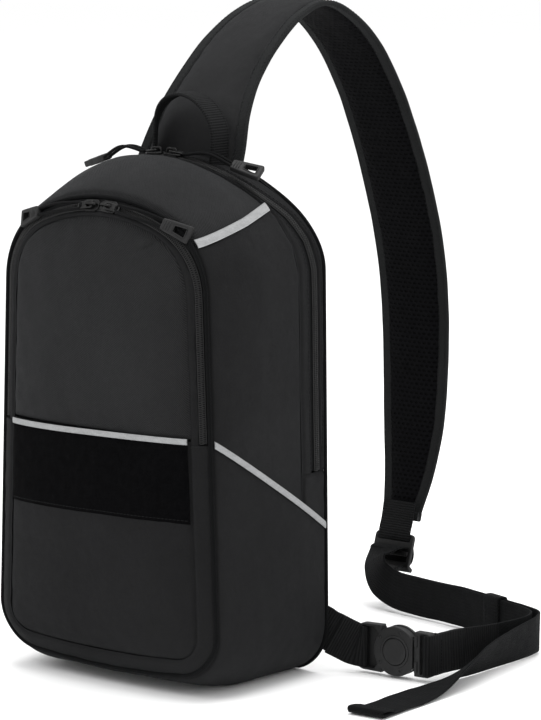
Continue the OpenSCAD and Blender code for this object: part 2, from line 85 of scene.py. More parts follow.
class Graph:
    def __init__(self, name):
        self.mat = bpy.data.materials.new(name)
        self.mat.use_nodes = True
        self.tree = self.mat.node_tree
        self.tree.nodes.clear()
        self.bsdf = self.new("ShaderNodeBsdfPrincipled")
        out = self.new("ShaderNodeOutputMaterial")
        self.tree.links.new(self.bsdf.outputs[0], out.inputs[0])

    def new(self, kind, **props):
        n = self.tree.nodes.new(kind)
        for k, v in props.items():
            setattr(n, k, v)
        return n

    def put(self, socket, v):
        if isinstance(v, Value):
            v = v.socket
        if isinstance(v, bpy.types.NodeSocket):
            self.tree.links.new(v, socket)
        else:
            socket.default_value = v

    def uv(self):
        n = self.new("ShaderNodeUVMap", uv_map="UVMap")
        s = self.new("ShaderNodeSeparateXYZ")
        self.put(s.inputs[0], n.outputs[0])
        return Value(self, s.outputs[0]), Value(self, s.outputs[1])

    def noise(self, scale, detail, rough=0.55, stretch=(1, 1, 1)):
        c = self.new("ShaderNodeTexCoord")
        m = self.new("ShaderNodeMapping")
        m.inputs["Scale"].default_value = stretch
        self.put(m.inputs[0], c.outputs["Object"])
        n = self.new("ShaderNodeTexNoise")
        n.inputs["Scale"].default_value = scale
        n.inputs["Detail"].default_value = detail
        n.inputs["Roughness"].default_value = rough
        self.put(n.inputs["Vector"], m.outputs[0])
        return Value(self, n.outputs[0])

    def grain(self, scale, detail, low, high, rough=0.55):
        """Noise of that scale, spread from low to high."""
        return self.noise(scale, detail, rough).span(0.3, 0.7, low, high)

    def tint(self, colour, v):
        """colour times v."""
        n = self.new("ShaderNodeMix", data_type="RGBA", blend_type="MULTIPLY")
        n.inputs[0].default_value = 1.0
        n.inputs[6].default_value = (*colour, 1)
        c = self.new("ShaderNodeCombineColor")
        for i in range(3):
            self.put(c.inputs[i], v)
        self.put(n.inputs[7], c.outputs[0])
        return n.outputs[2]

    def bumps(self, *layers):
        """layers of (height, metres of relief)."""
        last = None
        for h, d in layers:
            b = self.new("ShaderNodeBump")
            b.inputs["Strength"].default_value = 1.0
            b.inputs["Distance"].default_value = d
            self.put(b.inputs["Height"], h)
            if last is not None:
                self.put(b.inputs["Normal"], last)
            last = b.outputs[0]
        self.put(self.bsdf.inputs["Normal"], last)

    def set(self, **values):
        for k, v in values.items():
            self.put(self.bsdf.inputs[k.replace("_", " ")], v)


def weave_height(g, kind, pitch):
    """Height of a weave, about -1 to 1, that repeats every pitch mm."""
    u, v = g.uv()
    x, y = u * (2 * math.pi / pitch), v * (2 * math.pi / pitch)
    sx, sy = x.sin(), y.sin()
    if kind == "plain":
        return sx * sy
    if kind == "twill":
        return (x + y).sin() * 0.7 + sx * sy * 0.45
    if kind == "rib":       # ribs across the length, with fine yarns along it
        return abs((y * 0.5).sin()) * 1.6 + (x * 2.6).sin() * 0.22 - 1.0
    if kind == "herring":   # fine chevrons of webbing
        return (y + abs((x * 0.25).sin()) * 5.0).sin()
    tall = pitch * 0.8      # "mesh": staggered oval holes of air mesh
    fu = (u / pitch + (v / tall).floor() % 2.0 * 0.5).fract() - 0.5
    fv = (v / tall).fract() - 0.5
    return (fu * fu * 9.0 + fv * fv * 15.0).span(0.45, 1.1, -1.0, 1.0)


def fabric(name, colour, kind, pitch, relief, weave_shade, rough, sheen):
    g = Graph(name)
    h = weave_height(g, kind, pitch)
    # The weave's colour follows its height: painted shade in the hollows and in the air mesh's holes, painted light on
    # the raised yarns.
    v = h.span(-1.0, 1.0, 1 - weave_shade, 1 + weave_shade) * g.grain(14, 3, 0.88, 1.12)
    v = v * (g.grain(900, 2, 0.86, 1.14) * g.noise(2600, 1).span(0.70, 0.80, 1.0, 1.2))
    g.set(Base_Color=g.tint(colour, v), Roughness=g.grain(160, 3, rough - 0.06, rough + 0.08),
          Specular_IOR_Level=0.05, Sheen_Weight=sheen, Sheen_Roughness=0.55)
    g.bsdf.inputs["Sheen Tint"].default_value = (0.75, 0.78, 0.82, 1)
    g.bumps((h, relief), (g.noise(220, 4), 0.00025), (g.noise(45, 3), 0.0006))
    return g.mat


def plastic(name, colour, rough, relief):
    g = Graph(name)
    v = g.grain(60, 4, 0.9, 1.1) * g.grain(1500, 2, 0.92, 1.08)
    g.set(Base_Color=g.tint(colour, v), Roughness=g.grain(300, 5, rough - 0.07, rough + 0.1, 0.6),
          Specular_IOR_Level=0.3)
    g.bumps((g.noise(2800, 2), relief), (g.noise(90, 3), relief * 2.5))
    return g.mat


def metal(name, colour):
    g = Graph(name)
    v = g.grain(120, 4, 0.8, 1.2) * g.noise(2200, 3).span(0.35, 0.7, 0.9, 1.15)
    g.set(Base_Color=g.tint(colour, v), Metallic=1.0, Roughness=g.grain(420, 5, 0.24, 0.46, 0.6))
    g.bumps((g.noise(500, 4), 0.00006))
    return g.mat


def reflective(name, colour):
    """Silver tape of tiny glass beads, with a fine crosswise grain and scuffs."""
    g = Graph(name)
    beads, scuff = g.noise(1800, 3, 0.7), g.noise(140, 5, 0.7, (1, 1, 3))
    v = beads.span(0.35, 0.65, 0.8, 1.12) * scuff.span(0.3, 0.7, 0.82, 1.08)
    g.set(Base_Color=g.tint(colour, v), Metallic=0.0, Roughness=0.6, Specular_IOR_Level=0.3)
    g.bumps((beads, 0.00005), (scuff, 0.00012))
    return g.mat


def pile(name, colour):
    """Short loops of the hook-and-loop panel."""
    g = Graph(name)
    loops, clumps = g.noise(1300, 3, 0.8), g.noise(170, 4, 0.6)
    v = loops.span(0.35, 0.65, 0.45, 1.7) * clumps.span(0.3, 0.7, 0.75, 1.25)
    g.set(Base_Color=g.tint(colour, v), Roughness=0.95, Specular_IOR_Level=0.02, Sheen_Weight=0.01,
          Sheen_Roughness=0.4)
    g.bumps((loops, 0.0005), (clumps, 0.0006))
    return g.mat


# name, colour, weave, pitch in mm, relief in m, weave shade (painted shade and light on the weave), roughness, sheen
FABRICS = {
    "twill_fabric": ("TwillNylon", (0.0118, 0.0118, 0.0121), "twill", 1.6, 0.00022, 0.75, 0.8, 0.05),
    "plain_fabric": ("PlainPolyester", (0.0092, 0.0092, 0.0095), "plain", 0.9, 0.00012, 0.3, 0.86, 0.03),
    "strap_fabric": ("StrapCover", (0.0128, 0.0128, 0.0132), "plain", 0.85, 0.0001, 0.3, 0.85, 0.04),
    "strap_border": ("StrapBorder", (0.0082, 0.0085, 0.0086), "mesh", 1.5, 0.0002, 0.6, 0.8, 0.03),
    "air_mesh": ("AirMesh", (0.0016, 0.0016, 0.0019), "mesh", 4.6, 0.0007, 0.7, 0.9, 0.0),
    "lining": ("Lining", (0.040, 0.041, 0.044), "plain", 0.6, 0.00005, 0.15, 0.7, 0.05),
    "zip_tape": ("ZipTape", (0.0046, 0.0046, 0.0049), "rib", 1.1, 0.00012, 0.35, 0.8, 0.02),
    "binding": ("Binding", (0.0030, 0.0031, 0.0033), "herring", 1.2, 0.00016, 0.4, 0.82, 0.02),
    "webbing": ("Webbing", (0.0070, 0.0071, 0.0073), "rib", 1.9, 0.00030, 0.6, 0.78, 0.02),
    "webbing_fine": ("WebbingFine", (0.0019, 0.0020, 0.0021), "herring", 1.3, 0.00016, 0.4, 0.8, 0.03),
    "pull_cord": ("PullCord", (0.0038, 0.0038, 0.0040), "herring", 1.0, 0.0002, 0.4, 0.75, 0.02),
    "stitching": ("Thread", (0.0080, 0.0080, 0.0085), "plain", 0.3, 0.00004, 0.3, 0.6, 0.02),
}
# name, colour, roughness, relief in m
PLASTICS = {
    "zip_coil": ("ZipCoil", (0.0048, 0.0048, 0.0050), 0.5, 0.00006),
    "grip_rubber": ("GripRubber", (0.0072, 0.0072, 0.0075), 0.66, 0.0001),
    "moulded_plastic": ("MouldedPlastic", (0.0085, 0.0086, 0.0089), 0.55, 0.00007),
    "lock_plastic": ("LockPlastic", (0.0030, 0.0030, 0.0032), 0.6, 0.00007),
}
M = {k: fabric(*v) for k, v in FABRICS.items()}
M.update({k: plastic(*v) for k, v in PLASTICS.items()})
M["loop_pile"] = pile("LoopPile", (0.0016, 0.0016, 0.0018))
M["reflective_tape"] = reflective("ReflectiveTape", (0.265, 0.268, 0.271))
M["slider_metal"] = metal("DarkNickel", (0.026, 0.026, 0.026))

# ---------------------------------------------------------------- mesh helpers


def unit(v):
    v = np.asarray(v, float)
    return v / (np.linalg.norm(v, axis=-1, keepdims=True) + 1e-12)


def tangents(p):
    return unit(np.gradient(p, axis=0))


def step(x, a, b):
    t = np.clip((np.asarray(x, float) - a) / (b - a), 0, 1)
    return t * t * (3 - 2 * t)


def bell(x, width):
    return np.exp(-(x / width) ** 2)


def fade(x, reach):
    return np.exp(-x / reach)


def waves(p, length, seed):
    """Smooth noise of about that wavelength in mm, from -1 to 1, at points p."""
    n, r = 7, np.random.default_rng(seed)
    d = unit(r.normal(size=(n, p.shape[-1])))
    k = 2 * math.pi / (length * r.uniform(0.7, 1.6, n))
    return sum(np.sin(p @ d[i] * k[i] + r.uniform(0, 6.28)) for i in range(n)) / math.sqrt(n)


def gathers(p, edge, height, reach, length, seed):
    """Small folds beside a seam, edge mm away from it."""
    return height * fade(edge, reach) * (1 - fade(edge, 2)) * waves(p, length, seed)


def rolled(edge, seam, width, share):
    """Cloth that turns down into a seam."""
    return -seam * bell(edge, width) - share * seam * fade(edge, 5)


def quads(nu, nv, base=0, cu=False, cv=False):
    i, j = np.meshgrid(np.arange(nu if cu else nu - 1), np.arange(nv if cv else nv - 1), indexing="ij")
    i2, j2 = (i + 1) % nu, (j + 1) % nv
    return (np.stack([i * nv + j, i2 * nv + j, i2 * nv + j2, i * nv + j2], -1).reshape(-1, 4) + base).tolist()


def running(p):
    """Running length along a path."""
    return np.concatenate([[0], np.cumsum(np.linalg.norm(np.diff(p, axis=0), axis=1))])


def sample(t, s, p):
    """Points of p at running lengths t, where s are p's own."""
    return np.stack([np.interp(t, s, p[:, k]) for k in range(p.shape[1])], -1)


def lengths(p):
    """Running length along the first axis, averaged over the second."""
    d = np.linalg.norm(np.diff(p, axis=0), axis=2).mean(1)
    return np.concatenate([[0], np.cumsum(d)])


def edge_distance(p):
    """How far each point of a grid is from the grid's nearest edge, in mm."""
    su, sv = lengths(p), lengths(p.transpose(1, 0, 2))
    return np.minimum(np.minimum(su, su[-1] - su)[:, None], np.minimum(sv, sv[-1] - sv)[None])


def grid_uv(p):
    a, b = lengths(p), lengths(p.transpose(1, 0, 2))
    return np.stack(np.meshgrid(a, b, indexing="ij"), -1)


def grid_normals(p):
    return unit(np.cross(np.gradient(p, axis=0), np.gradient(p, axis=1)))


class Build:
    """Collects vertices in mm, faces and UVs, and makes one object of them."""

    def __init__(self):
        self.v, self.f, self.t = [], [], []
        self.n = 0

    def add(self, verts, faces, uv):
        verts = np.asarray(verts, float).reshape(-1, 3)
        self.v.append(verts)
        self.t.append(np.asarray(uv, float).reshape(-1, 2))
        self.f += [[k + self.n for k in f] for f in faces]
        self.n += len(verts)
        return self

    def grid(self, p, uv=None, cu=False, cv=False, caps=False):
        nu, nv = p.shape[:2]
        self.add(p, quads(nu, nv, 0, cu, cv), grid_uv(p) if uv is None else uv)
        if caps:
            k = self.n - nu * nv
            self.f += [[k + j for j in range(nv)][::-1], [k + (nu - 1) * nv + j for j in range(nv)]]
        return self

    def cloth(self, p, t, out, uv=None):
        """A sheet with thickness t under the surface p. out is a point-wise outward hint."""
        n = grid_normals(p)
        if (n * out).sum() < 0:
            p, n = p[:, ::-1], -n[:, ::-1]
            uv = None if uv is None else uv[:, ::-1]
        uv = grid_uv(p) if uv is None else uv
        nu, nv = p.shape[:2]
        q = p - n * t
        top, low = quads(nu, nv), quads(nu, nv, nu * nv)
        ring = [i * nv for i in range(nu)] + [(nu - 1) * nv + j for j in range(1, nv)] \
            + [i * nv + nv - 1 for i in range(nu - 2, -1, -1)] + [j for j in range(nv - 2, 0, -1)]
        rim = [[a, b, b + nu * nv, a + nu * nv] for a, b in zip(ring, ring[1:] + ring[:1])]
        return self.add(np.concatenate([p.reshape(-1, 3), q.reshape(-1, 3)]),
                        top + [f[::-1] for f in low] + rim, np.concatenate([uv.reshape(-1, 2)] * 2))

    def mirrored(self):
        c = Build()
        c.n, c.t = self.n, self.t
        c.v = [v * np.array([-1, 1, 1]) for v in self.v]
        c.f = [f[::-1] for f in self.f]
        return c

    def object(self, name, mat, body, *nodes, fix=False, blend=None):
        """An object on that body in place of these CAD nodes. With blend, a start and an end in metres whose values
        nothing reads, it stays where it is in world space and is not put on the body. fix turns the faces outward."""
        me = bpy.data.meshes.new(name)
        me.from_pydata((np.concatenate(self.v) * MM).tolist(), [], self.f)
        layer = me.uv_layers.new(name="UVMap")
        idx = np.zeros(len(me.loops), int)
        me.loops.foreach_get("vertex_index", idx)
        layer.data.foreach_set("uv", np.concatenate(self.t)[idx].astype(np.float32).ravel())
        if fix:
            bm = bmesh.new()
            bm.from_mesh(me)
            bmesh.ops.recalc_face_normals(bm, faces=bm.faces)
            bm.to_mesh(me)
            bm.free()
        me.shade_smooth()
        me.materials.append(M[mat])
        o = bpy.data.objects.new(name, me)
        bpy.context.scene.collection.objects.link(o)
        if blend:
            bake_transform(o)
        else:
            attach(o, body)
        if nodes:
            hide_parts(*nodes)
        return o


def pair(b, name, mat, node=None):
    """A piece of the bag on the right and its mirror image on the left; {} stands for the side."""
    for side, c in (("right", b), ("left", b.mirrored())):
        c.object(name.format(side), mat, "bag", *([node.format(side)] if node else []))


def coons(b, t, l, r):
    """A patch between four curves: b and t have nu points, l and r nv, and the corners agree."""
    nu, nv = len(b), len(l)
    u, v = np.linspace(0, 1, nu)[:, None, None], np.linspace(0, 1, nv)[None, :, None]
    return ((1 - v) * b[:, None] + v * t[:, None] + (1 - u) * l[None] + u * r[None]
            - (1 - u) * (1 - v) * b[0] - u * (1 - v) * b[-1] - (1 - u) * v * t[0] - u * v * t[-1])


def resample(p, n):
    p = np.asarray(p, float)
    s = running(p)
    return sample(np.linspace(0, s[-1], n), s, p)


def spline(p, m):
    """Catmull-Rom through p, m steps a span."""
    p = np.asarray(p, float)
    q = np.concatenate([[2 * p[0] - p[1]], p, [2 * p[-1] - p[-2]]])
    t = np.linspace(0, 1, m, endpoint=False)[:, None]
    out = [0.5 * (2 * b + (c - a) * t + (2 * a - 5 * b + 4 * c - d) * t ** 2 + (3 * b - a - 3 * c + d) * t ** 3)
           for a, b, c, d in zip(q, q[1:], q[2:], q[3:])]
    return np.concatenate(out + [p[-1:]])


def circle(sides):
    return np.linspace(0, 2 * math.pi, sides, endpoint=False)


def tube(b, path, r, sides=10):
    """Adds a round tube of radius r (a number or one per point) along a path."""
    p = np.asarray(path, float)
    d = tangents(p)
    u = unit(np.cross(d, [0.13, 0.31, 0.94]))       # any direction that no path follows
    w = np.cross(d, u)
    a = circle(sides)
    r = np.broadcast_to(np.asarray(r, float), (len(p),))[:, None, None]
    ring = p[:, None] + r * (np.cos(a)[None, :, None] * u[:, None] + np.sin(a)[None, :, None] * w[:, None])
    uv = np.stack(np.meshgrid(running(p), a * float(r.mean()), indexing="ij")[::-1], -1)
    return b.grid(ring, uv, cv=True, caps=True)


def stitches(b, path, normal, pitch=3.2, length=2.3, r=0.27):
    """Adds a row of thread stitches along a path on a surface with this normal, or one normal a point."""
    p = np.asarray(path, float)
    n = np.broadcast_to(np.asarray(normal, float), p.shape)
    s = running(p)
    k = np.linspace(-1, 1, 5)
    for c in np.arange(pitch / 2, s[-1] - pitch / 2, pitch):
        q = sample(c + k * length / 2, s, p) + unit(sample(c, s, n)) * (0.12 - 0.35 * k ** 2)[:, None]
        tube(b, q, np.array([0.4, 1, 1, 1, 0.4]) * r, 5)
    return b


def section(w, t, n=6, edge=None):
    """A flat section of half width w and half thickness t with round edges, starting mid-edge."""
    e = t if edge is None else edge
    a = np.linspace(0, math.pi / 2, n)
    x = np.concatenate([w - e + e * np.cos(a), -(w - e) - e * np.cos(a[::-1])])
    y = np.concatenate([t * np.sin(a), t * np.sin(a[::-1])])
    return np.concatenate([np.stack([x, y], -1), np.stack([x[::-1], -y[::-1]], -1)[1:-1]])


def sweep(b, centre, across, normal, sections):
    """Adds a solid along centre; sections is one (m, 2) section of [across, normal] or one per point."""
    c, a, n = (np.asarray(q, float) for q in (centre, across, normal))
    s = np.asarray(sections, float)
    s = np.broadcast_to(s, (len(c), *s.shape[-2:]))
    p = c[:, None] + s[..., :1] * a[:, None] + s[..., 1:] * n[:, None]
    uv = np.stack([s[..., 0], np.broadcast_to(running(c)[:, None], s.shape[:2])], -1)
    return b.grid(p, uv, cv=True, caps=True)


# ---------------------------------------------------------------- the body's outline and surface
# Outline: top, crown radius, crown half angle, half width at shoulder and foot, bottom, foot radius.
BAG = (376.0, 115.0, 40.0, 100.0, 103.0, 0.0, 36.0)
POCKET = (351.0, 150.0, 22.0, 93.0, 102.0, 13.0, 32.0)
GUSSET_IN, GUSSET_OUT = 13.5, 7.0       # how far the pocket's gusset slopes in and forward
INNER = tuple(v + k * GUSSET_IN for v, k in zip(POCKET, (-1, -1, 0, -1, -1, 1, -1)))
FRONT, BACK, CREST = -60.0, 62.0, -12.0
FOLD = 187.0                            # height of the flap's fold
SIDE_PUFF, CROWN_RISE, CROWN_FALL = 4.6, 2.2, 3.0       # how far the bag bulges and its crown rounds
CLOTH, PADDED, TAPE_T = 1.4, 2.2, 0.8   # thickness of panels, of the pocket's front and of side tapes
N_BOTTOM, N_FOOT, N_SIDE, N_SHOULDER, N_CROWN = 16, 18, 60, 26, 26
MIDDLE = np.array([0, 0, 170.0])        # a point inside the bag


def half_outline(o):
    """Right half as [x, z, angle of the outward direction], from the middle of the bottom to the crown."""
    top, cr, ca, sh, ft, low, fr = o
    s, c = math.sin(math.radians(ca)), math.cos(math.radians(ca))
    sr = (sh - cr * s) / (1 - s)
    sc = ((cr - sr) * s, top - cr + (cr - sr) * c)
    fc = (ft - fr, low + fr)
    dx, dz = fc[0] - sc[0], fc[1] - sc[1]
    t = -math.degrees(math.atan2(dz, dx)) - math.degrees(math.acos((sr - fr) / math.hypot(dx, dz)))

    def arc(cx, cz, r, a0, a1, n):
        a = np.radians(np.linspace(a0, a1, n + 1))
        return np.stack([cx + r * np.cos(a), cz + r * np.sin(a), np.degrees(a)], -1)

    foot = arc(*fc, fr, -90, -t, N_FOOT)
    shoulder = arc(*sc, sr, -t, 90 - ca, N_SHOULDER)
    crown = arc(0, top - cr, cr, 90 - ca, 90, N_CROWN)
    k = np.linspace(0, 1, N_BOTTOM + 1)[:-1, None]
    bottom = np.array([0, low, -90]) * (1 - k) + foot[0] * k
    k = np.linspace(0, 1, N_SIDE + 1)[1:-1, None]
    side = foot[-1] * (1 - k) + shoulder[0] * k
    return np.concatenate([bottom, foot, side, shoulder, crown[1:]])


HB, HP, HI = half_outline(BAG), half_outline(POCKET), half_outline(INNER)
BOW = 7.0               # the pocket's lower edge sags this much in the middle
for outline in (HP, HI):
    outline[:, 1] += BOW * (outline[:, 0] / 96) ** 2 * np.clip((75 - outline[:, 1]) / 62, 0, 1)
TB = running(HB[:, :2])
ROUND = TB[-1]          # half of the body's way round, in mm
TB = TB / ROUND         # the parameter: 0 mid-bottom, 1 crown, and 1 to 2 down the left side


def on_outline(h, T):
    t = np.mod(np.asarray(T, float), 2.0)
    t, sg = np.where(t > 1, 2 - t, t), np.where(t > 1, -1.0, 1.0)
    x, z, a = (np.interp(t, TB, h[:, k]) for k in range(3))
    return x * sg, z, np.radians(np.where(sg > 0, a, 180 - a))


def half_width(z, h):
    return np.interp(z, h[N_BOTTOM:, 1], h[N_BOTTOM:, 0])


def t_outline(z, h):
    return float(np.interp(z, h[N_BOTTOM:, 1], TB[N_BOTTOM:]))


def back_y(z):
    return BACK - 22 * step(z, 296, 378)


def back_edge(T):
    return back_y(on_outline(HB, T)[1])


def flare(y):
    """0 where the skin has the pocket's outline and 1 where it has the body's."""
    s = np.clip((y - FRONT) / (CREST - FRONT), 0, 1)
    return np.sqrt(1 - (1 - s) ** 2) * 0.65 + s * 0.35


def shell(T, y, off=0.0):
    """Points of the body's skin at parameter T and depth y."""
    T, y = np.broadcast_arrays(np.asarray(T, float), np.asarray(y, float))
    xb, zb, a = on_outline(HB, T)
    xp, zp, _ = on_outline(HP, T)
    f = flare(y)
    x, z = xp + (xb - xp) * f, zp + (zb - zp) * f
    belly = np.sin(math.pi * np.clip((y - FRONT) / (BACK - FRONT), 0, 1))
    puff = SIDE_PUFF * step(z, 8, 70) * (1 - step(z, 250, 345)) * belly ** 0.7 * (1 - 0.35 * step(z, 60, 260))
    crown = CROWN_RISE * step(z, 345, 372) * np.sin(math.pi * np.clip((y + 60) / 60, 0, 1)) \
        - CROWN_FALL * step(z, 330, 374) * step(y, 4, 46)
    p = np.stack([x, y, z], -1)
    soft = waves(p, 95, 3) * 0.9 * belly * step(z, 12, 60) * (1 - 0.6 * step(z, 340, 370))
    d = puff + crown + soft + off
    return p + np.stack([np.cos(a) * d, np.zeros_like(d), np.sin(a) * d], -1)


def t_of(z, y):
    """Parameter on the right half where the plain skin has height z at depth y."""
    z, y = np.broadcast_arrays(np.asarray(z, float), np.asarray(y, float))
    f = flare(y)
    out = np.empty(z.shape)
    low, high = HP[N_BOTTOM:, 1], HB[N_BOTTOM:, 1]
    for i in np.ndindex(z.shape):
        out[i] = np.interp(z[i], low + (high - low) * f[i], TB[N_BOTTOM:])
    return out


def low_line(y):
    """Height of the lower reflective tape at depth y."""
    return 185.5 - 0.627 * (y + 60)


def up_line(y):
    return 320.8 + 0.239 * (y + 70)


def zip_y(T):
    """Depth of the main zip."""
    return np.interp(on_outline(HB, T)[1], [296, 318, 336, 348, 376], [50, 46.0, 37.0, 26.6, 4])


def seam_y(T):
    """Front seam of the zip gusset."""
    return zip_y(T) - np.interp(on_outline(HB, T)[1], [300, 322, 345, 376], [17, 15, 9, 8])


# ---------------------------------------------------------------- the bag's panels


def curve(T, y, n):
    return resample(np.stack(np.broadcast_arrays(T, y), -1).astype(float), n)


def line_curve(line, y, n):
    return curve(t_of(line(y), y), y, n)


def skin_panel(edges, seed, seam=1.5, pucker=0.35):
    """A cloth panel between four curves of [T, y] on the skin. Its edges sink into the seams."""
    P = coons(*edges)
    T, y = P[..., 0], P[..., 1]
    p = shell(T, y)
    n = grid_normals(p)
    if (n * (p - MIDDLE)).sum() < 0:
        n = -n
    edge = edge_distance(p)
    free = waves(p, 60, seed + 9) * 0.5 + waves(p, 24, seed + 5) * 0.18
    d = rolled(edge, seam, 1.3, 0.35) + gathers(p, edge, pucker, 9, 13, seed) + free * (1 - fade(edge, 16))
    p = p + n * d[..., None]
    p[..., 2] = np.maximum(p[..., 2], 0.0)      # nothing sinks into the floor
    return Build().cloth(p, CLOTH, n, np.stack([T * ROUND, y * 1.05], -1))


thread = Build()        # stitches on the bag itself
Y_SIDE = 33.0           # depth of the side panel's rear seam below the zip
ZIP_END = 150.0
T_END = float(t_of(ZIP_END, 44.0))
Y_UP = 22.0             # where the upper tape meets the zip gusset
for _ in range(12):
    Y_UP = float(seam_y(t_of(up_line(Y_UP), Y_UP)))
Z_UP = float(up_line(Y_UP))
T_UP = float(t_of(Z_UP, Y_UP))

# side panels, between the two reflective tapes
tg = t_of(np.linspace(float(low_line(Y_SIDE)), Z_UP, 80), 0.0)
y_low, y_up = np.linspace(FRONT, Y_SIDE, 60), np.linspace(FRONT, Y_UP, 50)
z_front = np.linspace(float(low_line(FRONT)), float(up_line(FRONT)), 40)
side_edges = (line_curve(low_line, y_low, 56), line_curve(up_line, y_up, 56),
              curve(t_of(z_front, FRONT), FRONT, 70), resample(np.stack([tg, seam_y(tg)], -1), 70))
pair(skin_panel(side_edges, 11), "side_panel_{}", "plain_fabric", "{}_side_panel")

# top panel: twill, over the front shoulders and the crown
Tc = np.linspace(T_UP, 2 - T_UP, 90)
t0 = float(t_of(up_line(FRONT), FRONT))
top_edges = (curve(np.linspace(t0, 2 - t0, 90), FRONT, 110), resample(np.stack([Tc, seam_y(Tc)], -1), 110),
             line_curve(up_line, y_up, 44), curve(2 - t_of(up_line(y_up), y_up), y_up, 44))
skin_panel(top_edges, 23, pucker=0.45).object("top_panel", "twill_fabric", "bag", "top_panel")

# lower shell: one cloth from the right stripe under the bag to the left one
yb = np.linspace(FRONT, BACK, 80)
tl = t_of(low_line(yb), yb)
low_edges = (curve(tl, yb, 70), curve(-tl, yb, 70),
             curve(np.linspace(float(tl[0]), -float(tl[0]), 80), FRONT, 120),
             curve(np.linspace(float(tl[-1]), -float(tl[-1]), 80), BACK, 120))
skin_panel(low_edges, 31).object("lower_shell", "plain_fabric", "bag", "lower_shell")

# short side pieces behind the side panels, below the ends of the zip
y_rear = np.linspace(Y_SIDE, BACK, 40)


def rear_side(y):
    z = low_line(y) + (ZIP_END - low_line(y)) * np.linspace(0, 1, 30)
    return curve(t_of(z, y), y, 24)


rear_edges = (line_curve(low_line, y_rear, 30), curve(T_END, y_rear, 30), rear_side(Y_SIDE), rear_side(BACK))
pair(skin_panel(rear_edges, 41), "rear_foot_{}", "plain_fabric")

# bands in front of and behind the main zip
T_band = np.linspace(T_END, 2 - T_END, 260)


def band(name, node, y0, y1, seed, rows):
    ends = [curve(T_band[i], np.linspace(y0[i], y1[i], 9), rows) for i in (0, -1)]
    edges = (np.stack([T_band, y0], -1), np.stack([T_band, y1], -1), *ends)
    skin_panel(edges, seed, seam=1.2, pucker=0.3).object(name, "plain_fabric", "bag", node)


ZY = zip_y(T_band)
band("zip_gusset", "main_zip_gusset", seam_y(T_band), ZY - 5.0, 51, 10)
band("rear_gusset", "rear_gusset", ZY + 5.0, back_edge(T_band), 61, 20)
band_out = shell(T_band, ZY, 1.0) - shell(T_band, ZY, 0.0)
for off in (-8.2, 8.0):
    stitches(thread, shell(T_band, ZY + off, 0.1), band_out)

# ---------------------------------------------------------------- reflective tapes on the sides


def side_tape(name, line, y1, width):
    y = np.linspace(FRONT + 1.5, y1, 60)
    p = np.stack([shell(t_of(line(y) + k * width, y), y, 0.7 + 0.25 * (1 - (2 * k) ** 4))
                  for k in np.linspace(-0.5, 0.5, 7)], 1)
    pair(Build().cloth(p, TAPE_T, p - MIDDLE), name + "_on_{}", "reflective_tape", name + "_{}")


side_tape("upper_tape", up_line, Y_UP - 0.4, 5.4)
side_tape("lower_tape", low_line, BACK - 0.6, 5.2)

# ---------------------------------------------------------------- front pocket
FRONT_OUT = np.array([0, -1.0, 0])
BULGE = 8.6             # of the padded front
FLAP_FOLD = ((0.0, -0.0726, 0.1885), (0.0, -0.0726, 0.2025))    # a strip along the flap's fold, given as blend


def ring_point(T, k):
    """A point of the sloping gusset: k is 0 on the outer seam and 1 on the inner one."""
    xo, zo, _ = on_outline(HP, T)
    xi, zi, _ = on_outline(HI, T)
    k = np.asarray(k, float)
    y = FRONT - GUSSET_OUT * k - 1.3 * np.sin(math.pi * k)
    return np.stack([xo + (xi - xo) * k, np.broadcast_to(y, np.broadcast(xo, k).shape), zo + (zi - zo) * k], -1)


def front_y(x, z):
    """Depth of the padded front, which bulges beyond the inner seam."""
    u = np.clip(np.abs(x) / np.maximum(half_width(z, HI), 1), 0, 1)
    up = np.clip((z - 26.5) / 70, 0, 1)
    down = np.clip((337.5 - z) / 115, 0, 1)
    shape = (1 - u ** 2.6) ** 0.75 * (1 - (1 - up) ** 2.4) ** 0.8 * (1 - (1 - down) ** 2.2) ** 0.8
    return FRONT - GUSSET_OUT - BULGE * shape


def front_panel(z_cut, facing, nv, seed):
    """The padded front above the cut at z_cut (the flap) or below it. Its patch has two corners at the cut
    and two where the inner outline faces that angle, half way round the shoulders or the foot."""
    flap = facing > 0
    t_cut, t_corner = t_outline(z_cut, HI), float(np.interp(facing, HI[:, 2], TB))

    def pts(a, b):
        x, z, _ = on_outline(HI, np.linspace(a, b, 200))
        return np.stack([x, z], -1)

    right = pts(t_cut, t_corner) if flap else pts(t_corner, t_cut)
    left = right * [-1, 1]
    end = 0 if flap else -1
    cut = np.stack([np.linspace(left[end, 0], right[end, 0], 200), np.full(200, right[end, 1])], -1)
    low, top = (cut, pts(2 - t_corner, t_corner)) if flap else (pts(-t_corner, t_corner), cut)
    q = coons(resample(low, 90), resample(top, 90), resample(left, nv), resample(right, nv))
    x, z = q[..., 0], q[..., 1]
    p = np.stack([x, front_y(x, z), z], -1)
    edge = edge_distance(p)
    soft = gathers(p, edge, 0.5, 10, 15, seed)
    soft = soft + (waves(p, 85, seed + 3) * 0.75 + waves(p, 30, seed + 4) * 0.2) * (1 - fade(edge, 14))
    d = soft + rolled(edge, 1.3, 1.4, 0.3)
    if flap:                # a shallow tuck that runs down from the top seam
        along = (x - 38) * 0.93 + (z - 317) * 0.37
        across = (z - 317) * 0.93 - (x - 38) * 0.37 - 0.004 * along ** 2
        d = d - (1.5 * bell(across, 1.1) - 0.9 * bell(across - 3.4, 3.2)) * step(along, -4, 10)
    else:                   # held flat under the loop panel
        d = d - soft * 0.95 * step(z, PATCH_LOW - 14, PATCH_LOW)
    p[..., 1] -= d
    return p, q


